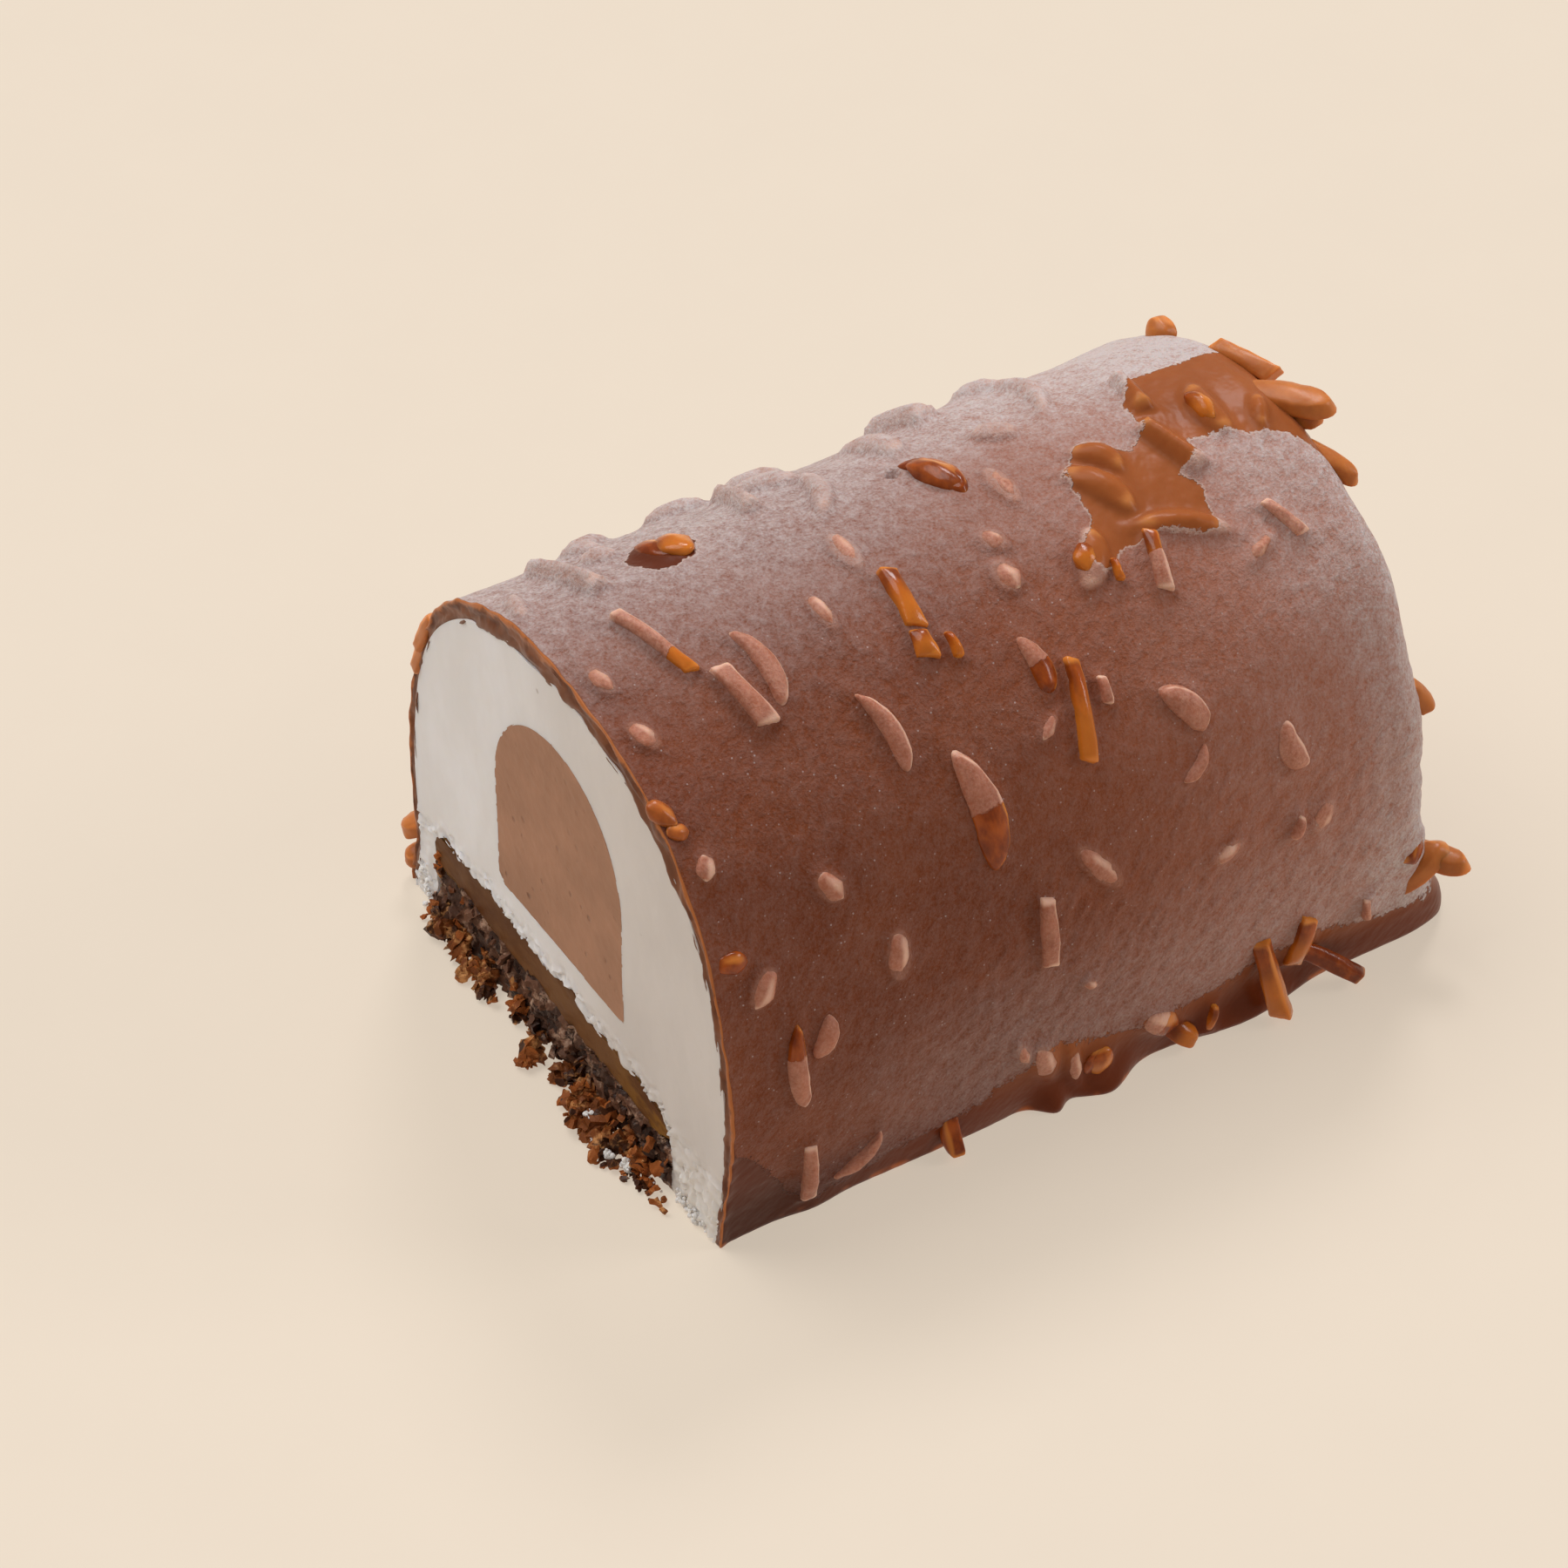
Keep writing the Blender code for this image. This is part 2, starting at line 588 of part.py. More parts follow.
def scattered_places(draw):
    """Places on the far side and the far end, none close to another."""
    end_starts = STRAIGHT + OVER_EDGE
    chosen = []
    for _ in range(SCATTER_TRIES):
        along = draw.uniform(SCATTER_FROM_CUT, end_starts + SCATTER_DOWN_END)
        around = draw.uniform(-GIRTH + SCATTER_FROM_FOOT, GIRTH - SCATTER_FROM_FOOT)
        if around > SCATTER_FAR_SIDE and along < end_starts + SCATTER_OVER_EDGE:
            continue
        place = skin_point(along, around)
        if all((place - other[2]).length > SCATTER_SPACING for other in chosen):
            chosen.append((along, around, place))
        if len(chosen) == SCATTER_COUNT:
            break
    return chosen


def lay_almonds(collection):
    """Every almond piece, as loose solids in one collection."""
    draw = random.Random(SCATTER_SEED)
    for k, (along, around, length, width, turn) in enumerate(SLIVERS):
        lay_on_coat(f"sliver_{k}", sliver(length, width, SLIVER_PROUD), along, around, turn, collection)
    for k, (along, around, length, width, turn, bow) in enumerate(SLICES):
        piece = almond_slice(length, width, bow, SLICE_PROUD)
        lay_on_coat(f"slice_{k}", piece, along, around, turn, collection)
    for k, (along, around, length, width, turn) in enumerate(CHIPS):
        piece = chip(length, width, CHIP_PROUD, draw)
        lay_on_coat(f"chip_{k}", piece, along, around, turn, collection)
    for k, (start, end, width, roll) in enumerate(OUTSTANDING):
        stand_out(f"outstanding_{k}", start, end, width, roll, collection)
    for k, (along, around, _) in enumerate(scattered_places(draw)):
        kind, turn = draw.random(), draw.uniform(0, 180)
        if kind < SLIVER_SHARE:
            length, width = draw.uniform(*SLIVER_LENGTHS), draw.uniform(*SLIVER_WIDTHS)
            piece = sliver(length, width, SLIVER_PROUD)
        elif kind < SLIVER_SHARE + SLICE_SHARE:
            length, width = draw.uniform(*SLICE_LENGTHS), draw.uniform(*SLICE_WIDTHS)
            piece = almond_slice(length, width, draw.uniform(*SLICE_BOWS), SLICE_PROUD)
        else:
            length, width = draw.uniform(*CHIP_LENGTHS), draw.uniform(*CHIP_WIDTHS)
            piece = chip(length, width, CHIP_PROUD, draw)
        lay_on_coat(f"scattered_{k}", piece, along, around, turn, collection)


def core_outline(grow):
    """The core's cross-section: a flat base, straight sides and a round top."""
    half, top, floor = CORE_WIDTH / 2 + grow, CORE_TOP + grow, CORE_FLOOR - grow
    points = []
    for k in range(CORE_TOP_STEPS + 1):
        turn = math.pi * k / CORE_TOP_STEPS
        rise = (top - CORE_SHOULDER) * math.sin(turn)
        points.append((CORE_CENTRE + half * math.cos(turn), CORE_SHOULDER + rise))
    left = CORE_CENTRE - half
    points += [(left, floor + CORE_CORNER), (left + CORE_CORNER, floor), (CORE_CENTRE + half, floor)]
    return points


def between(x, left_value, right_value):
    """A value that changes evenly from the base's left edge to its right edge."""
    share = (x - BASE_LEFT) / (BASE_RIGHT - BASE_LEFT)
    return left_value + (right_value - left_value) * share


def biscuit_top(x):
    """The biscuit's top, where the caramel starts."""
    return between(x, BISCUIT_TOP_LEFT, BISCUIT_TOP_RIGHT)


def caramel_top(x):
    """The caramel's uneven top, lower towards either edge."""
    place = Vector((x / CARAMEL_RIPPLE_LENGTH, CARAMEL_RIPPLE_SEED, 0.0))
    ripple = CARAMEL_RIPPLE * noise.noise(place)
    inwards = min(x - BASE_LEFT, BASE_RIGHT - x) / CARAMEL_TAPER
    taper = CARAMEL_THINNING * max(1 - inwards, 0.0) ** 2
    return between(x, CARAMEL_TOP_LEFT, CARAMEL_TOP_RIGHT) + ripple - taper


def band_outline(low, high, grow):
    """The outline between two heights that depend on x, across the width of the base."""
    step = (BASE_RIGHT - BASE_LEFT) / BAND_STEPS
    below, above = [], []
    for k in range(BAND_STEPS + 1):
        x = BASE_LEFT + step * k
        aside = -grow if k == 0 else grow if k == BAND_STEPS else 0.0
        below.append((x + aside, low(x) - grow))
        above.append((x + aside, high(x) + grow))
    return below + above[::-1]


def lump(x, forward, z, radius, draw, collection):
    """A crumb that clings to the cut face near the floor."""
    bm = bmesh.new()
    bmesh.ops.create_icosphere(bm, subdivisions=1, radius=radius)
    for vert in bm.verts:
        vert.co *= draw.uniform(*CRUMB_JITTER)
    bmesh.ops.translate(bm, vec=(x, -LOG_LENGTH / 2 - forward, z), verts=bm.verts)
    return new_object("lump", bm, collection)


def roughen_front(obj, heights):
    """Breaks up a cut face into crags: the face is gridded, then its points pushed out."""
    bm = bmesh.new()
    bm.from_mesh(obj.data)
    step = (BASE_RIGHT - BASE_LEFT) / CRAG_COLUMNS
    xs = [BASE_LEFT + step * k for k in range(1, CRAG_COLUMNS)]
    planes = [((x * MM, 0, 0), (1, 0, 0)) for x in xs]
    planes += [((0, 0, z * MM), (0, 0, 1)) for z in heights]
    for point, direction in planes:
        everything = bm.verts[:] + bm.edges[:] + bm.faces[:]
        bmesh.ops.bisect_plane(bm, geom=everything, dist=WELD, plane_co=point, plane_no=direction)
    front = min(vert.co.y for vert in bm.verts)
    for vert in bm.verts:
        if vert.co.y < front + WELD:
            vert.co.y -= MM * CRAG_DEPTH * (0.5 + noise.noise(vert.co / MM / CRAG_LENGTH))
    bm.to_mesh(obj.data)
    bm.free()


def finish(obj, colour, roughness):
    """Gives a piece its material and smooth shading."""
    material = bpy.data.materials.new(obj.name)
    material.use_nodes = True
    shader = material.node_tree.nodes["Principled BSDF"]
    shader.inputs["Base Color"].default_value = (*colour, 1.0)
    shader.inputs["Roughness"].default_value = roughness
    material.diffuse_color = (*colour, 1.0)
    obj.data.materials.clear()
    obj.data.materials.append(material)
    obj.data.shade_smooth()
    obj.data.set_sharp_from_angle(angle=SMOOTH_ANGLE)


def remove_objects(collection):
    """Empties a collection of helpers."""
    for obj in list(collection.objects):
        bpy.data.objects.remove(obj)


def wrap_inside(name, clearance, before, collection):
    """The inside of the coating, or the vanilla's outside when it is held clear by a gap."""
    arounds = columns(INNER_COLUMN_PITCH, INNER_FOOT_COLUMNS)
    alongs = rows(before, INNER_FRONT_ROWS, INNER_ROW_PITCH, INNER_EDGE_ROWS, INNER_END_ROWS)
    return wrap_log(name, ice_cream_surface(clearance), arounds, alongs, before, collection)


def make_coating(parts, helpers, above_floor):
    """The chocolate with its almonds, hollowed for the ice cream and trimmed at the cut."""
    arounds = columns(COLUMN_PITCH, FOOT_COLUMNS)
    alongs = rows(BEYOND, (0.0,), ROW_PITCH, EDGE_ROWS, END_ROWS)
    coat = wrap_log("milk_chocolate_coating", coat_surface, arounds, alongs, BEYOND, parts)
    lay_almonds(helpers)
    boolean(coat, "UNION", helpers, "MANIFOLD")
    remove_objects(helpers)
    boolean(coat, "DIFFERENCE", wrap_inside("inside", 0.0, 2 * BEYOND, helpers), "MANIFOLD")
    boolean(coat, "INTERSECT", above_floor, "MANIFOLD")
    remove_objects(helpers)
    keep_main_body(coat)
    finish(coat, MILK_CHOCOLATE, 0.45)


def make_vanilla(parts, helpers, above_floor):
    """The vanilla, with a tunnel for the core and a pocket for the caramel and biscuit."""
    vanilla = wrap_inside("vanilla_ice_cream", GAP, BEYOND, parts)
    tunnel = prism("tunnel", core_outline(GAP), -2 * BEYOND, CORE_END + GAP, helpers)
    outline = band_outline(lambda x: -2 * BEYOND, caramel_top, GAP)
    pocket = prism("pocket", outline, -2 * BEYOND, BASE_END + GAP, helpers)
    boolean(vanilla, "DIFFERENCE", tunnel)
    boolean(vanilla, "DIFFERENCE", pocket)
    boolean(vanilla, "INTERSECT", above_floor)
    remove_objects(helpers)
    add_lumps(vanilla, CLINGING_SNOW, SNOW_SEED, helpers)
    finish(vanilla, VANILLA, 0.6)


def make_layers(parts):
    """The core and the caramel."""
    core = prism("chocolate_ice_cream_core", core_outline(0.0), 0.0, CORE_END, parts)
    finish(core, CHOCOLATE_ICE_CREAM, 0.7)
    outline = band_outline(lambda x: biscuit_top(x) + GAP, caramel_top, 0.0)
    caramel = prism("caramel_layer", outline, 0.0, BASE_END, parts)
    finish(caramel, CARAMEL, 0.35)


def add_lumps(obj, places, seed, helpers):
    """Joins crumbs to a layer, then trims what reaches below the floor."""
    draw = random.Random(seed)
    for x, forward, z, radius in places:
        lump(x, forward, z, radius, draw, helpers)
    boolean(obj, "UNION", helpers, "MANIFOLD")
    remove_objects(helpers)
    floor = block("floor", (-BIG, -BIG, 0.0), (BIG, BIG, BIG), helpers)
    boolean(obj, "INTERSECT", floor, "MANIFOLD")
    remove_objects(helpers)
    keep_main_body(obj)


def make_biscuit(parts, helpers):
    """The biscuit base, with a craggy cut face and crumbs at its foot."""
    outline = band_outline(lambda x: -BEYOND, biscuit_top, 0.0)
    biscuit = prism("biscuit_base", outline, 0.0, BASE_END, parts)
    roughen_front(biscuit, CRAG_HEIGHTS)
    add_lumps(biscuit, CLINGING_CRUMBS, CRUMB_SEED, helpers)
    finish(biscuit, BISCUIT, 0.75)


def main():
    """Builds the five layers."""
    for obj in list(bpy.data.objects):
        bpy.data.objects.remove(obj)
    parts = bpy.data.collections.new("ice_cream_log")
    helpers = bpy.data.collections.new("helpers")
    for collection in (parts, helpers):
        bpy.context.scene.collection.children.link(collection)
    trim = bpy.data.collections.new("trim")
    bpy.context.scene.collection.children.link(trim)
    above_floor = block("above_floor", (-BIG, -LOG_LENGTH / 2, 0.0), (BIG, BIG, BIG), trim)
    make_coating(parts, helpers, above_floor)
    make_vanilla(parts, helpers, above_floor)
    make_layers(parts)
    make_biscuit(parts, helpers)
    remove_objects(trim)


main()
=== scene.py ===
import math
import random
from collections import namedtuple

import bmesh
import bpy
import numpy as np
from mathutils import Matrix, Vector, noise


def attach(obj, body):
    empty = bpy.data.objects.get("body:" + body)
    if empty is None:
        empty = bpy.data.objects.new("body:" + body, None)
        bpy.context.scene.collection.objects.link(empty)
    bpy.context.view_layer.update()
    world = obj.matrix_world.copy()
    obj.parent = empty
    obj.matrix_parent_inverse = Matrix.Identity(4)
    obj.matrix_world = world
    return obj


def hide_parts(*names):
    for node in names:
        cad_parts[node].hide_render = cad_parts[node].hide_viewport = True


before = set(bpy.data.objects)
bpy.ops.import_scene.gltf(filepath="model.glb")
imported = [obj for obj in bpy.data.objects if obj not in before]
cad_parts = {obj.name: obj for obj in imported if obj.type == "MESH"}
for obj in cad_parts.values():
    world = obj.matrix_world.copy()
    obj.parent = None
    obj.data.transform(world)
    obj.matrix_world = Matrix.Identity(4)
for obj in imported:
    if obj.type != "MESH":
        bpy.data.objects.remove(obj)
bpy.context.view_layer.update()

# Half an ice cream log on its base, with its cut face towards the viewer: vanilla round a
# chocolate core, over caramel and crumbly biscuit, in frosted milk chocolate with almonds.
# Sizes and places are in millimetres, in the frame of the solids. MM turns them into metres.
MM = 0.001

# The vector noise starts from this seed. Without one it would differ from run to run.
NOISE_SEED = 7

# The log's outline and its coating, as in the solids.
LOG_WIDTH = 80.0
LOG_HEIGHT = 69.5
LOG_LENGTH = 106.0
END_RADIUS = 6.0
ARCH_FULLNESS = 1.81
ARCH_SHOULDER = 3.94
FOOT_TUCK = 3.1
TUCK_HEIGHT = 27.0
FLARE_REACH = 4.0
FLARE_LENGTH = 7.0
FLARE_HEIGHT = 6.0
COAT_SIDE = 1.5
COAT_RIDGE_EXTRA = 3.0
COAT_RIDGE_SPREAD = 21.0
COAT_RIPPLE = 0.9
COAT_RIPPLE_LENGTH = 5.5
COAT_RIPPLE_SEED = 6.2
WAVE_HEIGHT = 1.1
WAVE_LENGTH = 24.0
WAVE_BREADTH = 19.0
WAVE_SEED = 140.0
RIPPLE_HEIGHT = 0.2
RIPPLE_LENGTH = 8.0
RIPPLE_SEED = 9.1
POOLS = (
    (1, 14.0, 0.7, 4.0),
    (1, 48.6, 2.6, 2.2),
    (1, 56.5, 3.2, 4.6),
    (1, 80.0, 2.4, 9.5),
    (-1, 34.0, 2.6, 4.5),
    (-1, 71.0, 3.2, 3.5),
    (-1, 88.0, 1.8, 5.0),
)
POOL_DEPTH = 3.2
END_POOL_REACH = 6.0
END_POOL_DEPTH = 10.0
END_LEAN = 1.8
END_LEAN_HEIGHT = 45.0
END_POOL_RISE = 6.0
FLAT_FOOT = 1.0
LEAST_LEVEL = 0.2
NORMAL_STEP = 0.5
TABLE_STEPS = 801

# The layers at the cut, as in the solids.
CORE_CENTRE = -1.2
CORE_WIDTH = 31.0
CORE_FLOOR = 20.0
CORE_SHOULDER = 38.0
CORE_TOP = 55.0
CORE_END = LOG_LENGTH - 10.0
CORE_CORNER = 1.4
BASE_LEFT = -34.0
BASE_RIGHT = 25.5
BISCUIT_TOP_LEFT = 9.4
BISCUIT_TOP_RIGHT = 7.6
CARAMEL_TOP_LEFT = 15.6
CARAMEL_TOP_RIGHT = 12.6
CARAMEL_RIPPLE = 1.1
CARAMEL_RIPPLE_LENGTH = 4.0
CARAMEL_RIPPLE_SEED = 1.3
CARAMEL_TAPER = 4.0
CARAMEL_THINNING = 3.2
BASE_END = LOG_LENGTH - 7.0

# Chopped almonds, at their places in the solids, where the cracked sliver is one piece. A row is
# along, round, length, width, turn in degrees, and a slice's bow. Then comes the stretch that is
# bare, as shares of the length, or nothing where frost covers the whole piece.
EMBED = 0.9
SLIVER_PROUD = 1.3
SLICE_PROUD = 0.9
CHIP_PROUD = 0.9
SLIVER_THIN_END = 0.76
SLICE_TOP = 0.84
CHIP_JITTER = (0.85, 1.1)
CHIP_CORNERS = 12
BOW_MIDDLE = 0.5  # a bowed slice's line is this far out at its middle, in bows
BEND_SHARE = 0.7
ARCH_BEND_RADIUS = 36.0
OUTSTANDING_THICKNESS = 1.9
BARE = (0.0, 1.0)
FROSTED = None
AMBER = 1.0  # how thin the chocolate lies on a bare almond, from 1 down to 0
COATED = 0.25
STICK_AMBER = 1.6  # above 1 the almond itself shows through, most at its lower end; that brighter end is painted light shining through it
GOLDEN = 1.6
# Painted light: a golden piece's gold is full at one end and falls to GOLD_LEAST at the other, as light
# shining through it.
GOLD_FADE = (-0.35, 0.25)
GOLD_LEAST = 0.65

SLIVERS = (
    (12.0, 3.0, 13.0, 2.0, 74, (0.72, 1.0)),
    (42.2, 11.0, 8.7, 2.9, 95, BARE),
    (41.6, 17.5, 3.7, 3.0, 93, BARE),
    (45.0, 19.0, 3.5, 1.3, 89, BARE),
    (57.2, 32.3, 13.0, 2.4, 103, BARE),
    (86.0, 80.6, 9.0, 3.3, 99, BARE),
    (75.3, 19.0, 8.0, 2.4, 103, (0.0, 0.4)),
    (93.6, 20.3, 6.5, 1.8, 66),
    (87.5, -5.7, 7.5, 1.8, 99, BARE),
    (86.2, 5.3, 9.0, 2.1, 71, BARE),
    (69.7, 18.2, 3.0, 1.2, 98, BARE),
    (46.3, 58.5, 10.5, 2.6, 91),
    (11.8, 82.5, 12.0, 2.3, 85),
    (72.7, 88.0, 5.0, 1.3, 98, BARE),
    (83.8, 59.3, 3.3, 1.3, 112),
    (96.4, 80.0, 4.0, 1.3, 84),
    (10.9, -17.0, 14.0, 2.1, 81),
    (17.7, 14.6, 9.5, 3.0, 77),
    (37.0, -19.5, 10.5, 1.9, 94),
    (61.2, 31.2, 3.6, 1.6, 97),
    (65.1, -26.4, 9.5, 3.2, 67),
)

SLICES = (
    (21.6, 12.0, 13.0, 3.3, 86, 1.6),
    (58.0, -6.0, 13.0, 3.8, 73, 1.6, BARE),
    (32.0, 25.5, 13.0, 3.0, 80, 1.5),
    (40.2, 39.0, 18.0, 5.2, 85, 1.3, (0.5, 1.0)),
    (19.3, 84.0, 10.0, 3.0, 135, 1.4),
    (84.4, 47.4, 8.5, 4.0, 76, -1.2),
    (70.8, 37.2, 9.4, 4.2, 56, 0.8),
    (70.3, 44.4, 6.2, 2.0, 132, 1.0),
    (13.8, 59.4, 6.8, 3.4, 114, 0.8),
    (10.0, 62.5, 14.5, 3.3, 90, -1.0, (0.0, 0.35)),
    (54.1, 25.0, 9.2, 3.5, 82, 0.9, (0.5, 1.0)),
    (79.0, -18.0, 14.0, 2.2, 94, 1.4),
    (76.8, 2.7, 6.2, 2.8, 54, 0.8, BARE),
    (74.3, 7.0, 9.0, 3.3, 63, 0.6, BARE),
    (81.0, 16.0, 10.5, 2.6, 25, 0.5, BARE),
    (93.9, 2.0, 8.0, 3.3, 91, -0.6, BARE),
    (67.6, 15.6, 7.5, 3.6, 121, 0.6, (0.0, 0.6)),
    (57.5, -19.5, 9.5, 4.0, 75, 0.8),
    (45.0, -12.5, 10.0, 2.5, 108, 0.8),
    (104.5, 74.0, 6.0, 5.0, 0, 0.5, BARE),
)

CHIPS = (
    (22.8, -14.4, 8.0, 4.2, 75, BARE),
    (18.0, -27.0, 5.0, 3.0, 60),
    (17.0, -19.5, 4.0, 3.4, 30),
    (42.5, -22.0, 8.0, 4.0, 50),
    (33.0, -30.0, 7.0, 4.0, 20),
    (40.5, 1.1, 6.8, 2.8, 90),
    (32.2, 8.7, 5.4, 2.2, 83),
    (3.4, 5.0, 4.4, 2.2, 78),
    (4.0, 14.2, 4.6, 2.8, 64),
    (2.6, -14.0, 5.0, 1.8, 106),
    (69.6, -9.8, 5.0, 3.4, 40),
    (63.8, 0.7, 6.6, 2.8, 89),
    (57.6, 8.2, 3.6, 2.8, 48),
    (56.4, 13.3, 4.6, 3.6, 81),
    (3.4, 32.0, 3.2, 2.6, 113),
    (18.2, 40.2, 4.6, 3.4, 58),
    (25.3, 52.5, 6.6, 3.6, 96),
    (3.2, 44.2, 4.6, 3.0, 16, BARE),
    (54.7, 52.6, 8.8, 3.1, 54),
    (73.5, 58.6, 4.6, 2.8, -20),
    (88.0, 59.5, 4.6, 3.0, 120),
    (6.6, 49.2, 5.4, 3.6, 126),
    (43.2, 78.2, 4.4, 1.8, 70),
    (46.8, 81.7, 7.5, 3.2, 73),
    (51.4, 85.0, 8.0, 1.9, 79),
    (55.0, 86.4, 5.4, 4.6, 90, BARE),
    (64.8, 84.4, 8.5, 4.2, 38, (0.5, 1.0)),
    (88.9, 22.6, 4.4, 1.8, 153),
    (52.2, 32.8, 3.4, 1.6, 141),
    (99.6, 5.4, 4.0, 1.6, 115, BARE),
    (52.4, 70.0, 2.2, 1.6, 40),
    (20.8, -32.0, 5.2, 4.2, 10),
    (44.5, -30.0, 7.4, 4.8, 20),
    (77.5, -27.5, 6.0, 3.4, 40),
)

# Pieces that stand out past the coating: start, end, width and roll, each place as distance
# along the log, distance right of the middle and height.
OUTSTANDING = (
    ((101.0, -1.5, 67.6), (108.8, 9.6, 68.7), 5.2, 0, COATED),
    ((103.5, 1.5, 66.4), (107.6, 8.4, 66.6), 4.6, 0, COATED),
    ((101.2, -19.9, 61.6), (103.0, -19.9, 65.4), 4.6, 0, COATED),
    ((103.8, -10.2, 67.4), (106.8, -1.2, 67.0), 2.9, 30, COATED),
    ((103.4, 8.4, 64.9), (107.6, 16.8, 62.2), 3.0, 0, COATED),
    ((104.8, 33.0, 41.4), (107.6, 34.4, 37.0), 2.8, 0, COATED),
    ((101.5, 36.2, 8.6), (109.4, 38.2, 15.8), 5.0, 0, COATED),
    ((106.5, 33.0, 12.5), (110.6, 42.2, 13.8), 4.2, 0, COATED),
    ((86.0, 37.0, 8.5), (95.0, 41.2, 1.2), 2.2, 0, AMBER),
    ((79.8, 38.9, 14.0), (82.3, 41.2, 1.0), 2.95, 90, GOLDEN),
    ((33.6, 37.0, 5.6), (33.4, 39.4, 0.8), 2.4, 90, AMBER),
    ((66.4, 37.4, 4.6), (70.4, 39.4, 1.2), 3.2, 0, GOLDEN),
    ((5.0, -38.4, 10.8), (0.0, -43.6, 7.4), 4.2, 0, COATED),
    ((4.0, -40.6, 4.2), (-0.4, -42.4, 2.6), 3.4, 0, COATED),
    ((1.2, -33.2, 51.4), (0.2, -35.6, 45.2), 1.9, 30, COATED),
    ((1.0, -35.2, 46.4), (0.3, -36.8, 40.6), 1.6, 30, COATED),
)

# Nuggets that stand higher than the pieces round them: along, round, length, width, turn,
# height and how amber.
NUGGETS = (
    (24.4, -13.2, 6.4, 4.6, 75, 1.7, GOLDEN),
    (1.0, 24.0, 4.6, 2.8, 62, 1.3, 0.6),
    (1.8, 26.8, 3.0, 2.2, 20, 1.0, 0.6),
    (93.2, 1.6, 5.8, 3.2, 91, 2.4, GOLDEN),
    (66.8, 15.4, 4.2, 3.6, 121, 2.2, GOLDEN),
    (55.2, 86.2, 4.8, 4.2, 90, 1.7, GOLDEN),
    (58.2, -5.4, 10.0, 4.2, 73, 2.1, 0.8),
)

SCATTER_SEED = 11
SCATTER_COUNT = 52
SCATTER_SPACING = 8.0
SCATTER_TRIES = 4000
SCATTER_FROM_CUT = 3.0
SCATTER_FROM_FOOT = 3.0
SCATTER_FAR_SIDE = -46.0
SCATTER_OVER_EDGE = 4.0
SCATTER_DOWN_END = 28.0
SLIVER_SHARE = 0.3
SLICE_SHARE = 0.35
SLIVER_LENGTHS = (5.0, 12.0)
SLIVER_WIDTHS = (1.8, 2.8)
SLICE_LENGTHS = (7.0, 13.0)
SLICE_WIDTHS = (2.8, 4.2)
SLICE_BOWS = (-1.2, 1.4)
CHIP_LENGTHS = (3.0, 6.5)
CHIP_WIDTHS = (2.2, 4.0)
BARE_SEED = 4
BARE_SHARE = 0.25  # of the scattered pieces, how many have lost their frost

# How finely the dressed coating is cut, and how it wraps the almonds.
COAT_PITCH = 0.45
HIDDEN_PITCH = 1.2
SHOWN_FROM = -42.0
END_PITCH = 1.2
END_CLOSING = 6.0
INSIDE_ROWS = (0.0, 0.6, 2.0, 6.0, 20.0, 45.0, 70.0, 90.0, 98.0)
INSIDE_END_PITCH = 4.0
NEAR_MARGIN = 3.0
COLLAR_SHARE = 0.5  # how far up an almond the chocolate climbs: least, and most
COLLAR_MOST = 1.3
COLLAR_REACH = 0.6
DOMED = 0.5
DOME_REACH = 1.2
TIPS_FROM = 0.62
TIP_SPREAD = 0.45
COLLAR_SPREAD = 0.42
SUNK_CHIPS = 0.3
CHIP_LIFT = 1.35  # chips stand a little higher than in the solids
SUNK = 0.7  # almonds sunk deeper than this show only as a swelling of the chocolate
SUNK_TO_NEAR_SIDE = (-16.0, 16.0)
SUNK_TO_FAR_SIDE = (-60.0, -40.0)
SUNK_TO_END = (104.0, 110.0)
GRAIN_HEIGHT = 0.05
GRAIN_LENGTH = 1.3
PEEL_HEIGHT = 0.26  # slanted ripples, most of them low on the side
PEEL_LENGTH = 3.4
PEEL_BREADTH = 1.5
PEEL_ELSEWHERE = 0.25
PEEL_ALONG = (12.0, 50.0)
PEEL_FROM = (38.0, 58.0)
PEEL_TO = (76.0, 84.0)

# Each unevenness reads its own slice of the noise.
RAGGED_SLICE = 3.7
NIBBLED_SLICE = 1.3
RIM_LAYER_SLICE = 9.2
RIM_GRAIN_SLICE = 2.9
GRAIN_SLICE = 5.1
BEAD_SLICE = 8.8
PEEL_SLICE = 3.3
BISCUIT_TOP_SLICE = 4.4
TORN_SLICE = 7.7
CUT_WAVE_SLICE = 2.0
CUT_GRAIN_SLICE = 3.0
SNOW_SLICE = 6.0
SCRAPED_SLICE = 11.0
CORE_SLICE = 1.0
CARAMEL_SLICE = 8.0
CRUMB_SLICE = 4.0
CRUMB_GRAIN_SLICE = 5.0

# The coating's edge at the cut: a rounded lip, then (share of the thickness, how far behind
# the cut) for each row of points, from the outside in.
LIP_RADIUS = 0.35
RIM_STEPS = (
    (0.0, 0.12), (0.05, 0.0), (0.12, 0.0), (0.22, 0.06), (0.34, 0.1),
    (0.46, 0.1), (0.58, 0.08), (0.7, 0.05), (0.82, 0.0), (0.91, 0.0), (1.0, 0.0),
)
RIM_LAYER = 0.9
RIM_LAYER_HEIGHT = 0.5
RIM_LAYER_LENGTH = 4.5
RIM_ROUGHNESS = 0.08
RIM_ROUGH_RISE = 4.0  # the rim is smooth at its outer edge and rough after 1 / this of its depth
RIM_GRAIN = 0.8
LIP_TONE = 0.3  # the lip's value in the "cut_edge" layer, which reaches 1 at the ice cream
RAGGED_EDGE = 0.75
RAGGED_LENGTH = 4.6
NIBBLED_EDGE = 0.22
NIBBLED_LENGTH = 1.1
LIP_BEAD = 0.4  # a raised, uneven line just behind the edge
LIP_BEAD_LENGTH = 0.9
LIP_BEAD_WAVE = 3.1
LIP_BEAD_LEVEL = 0.6
LIP_BEAD_SWING = 1.4
LIP_DIP = 1.1
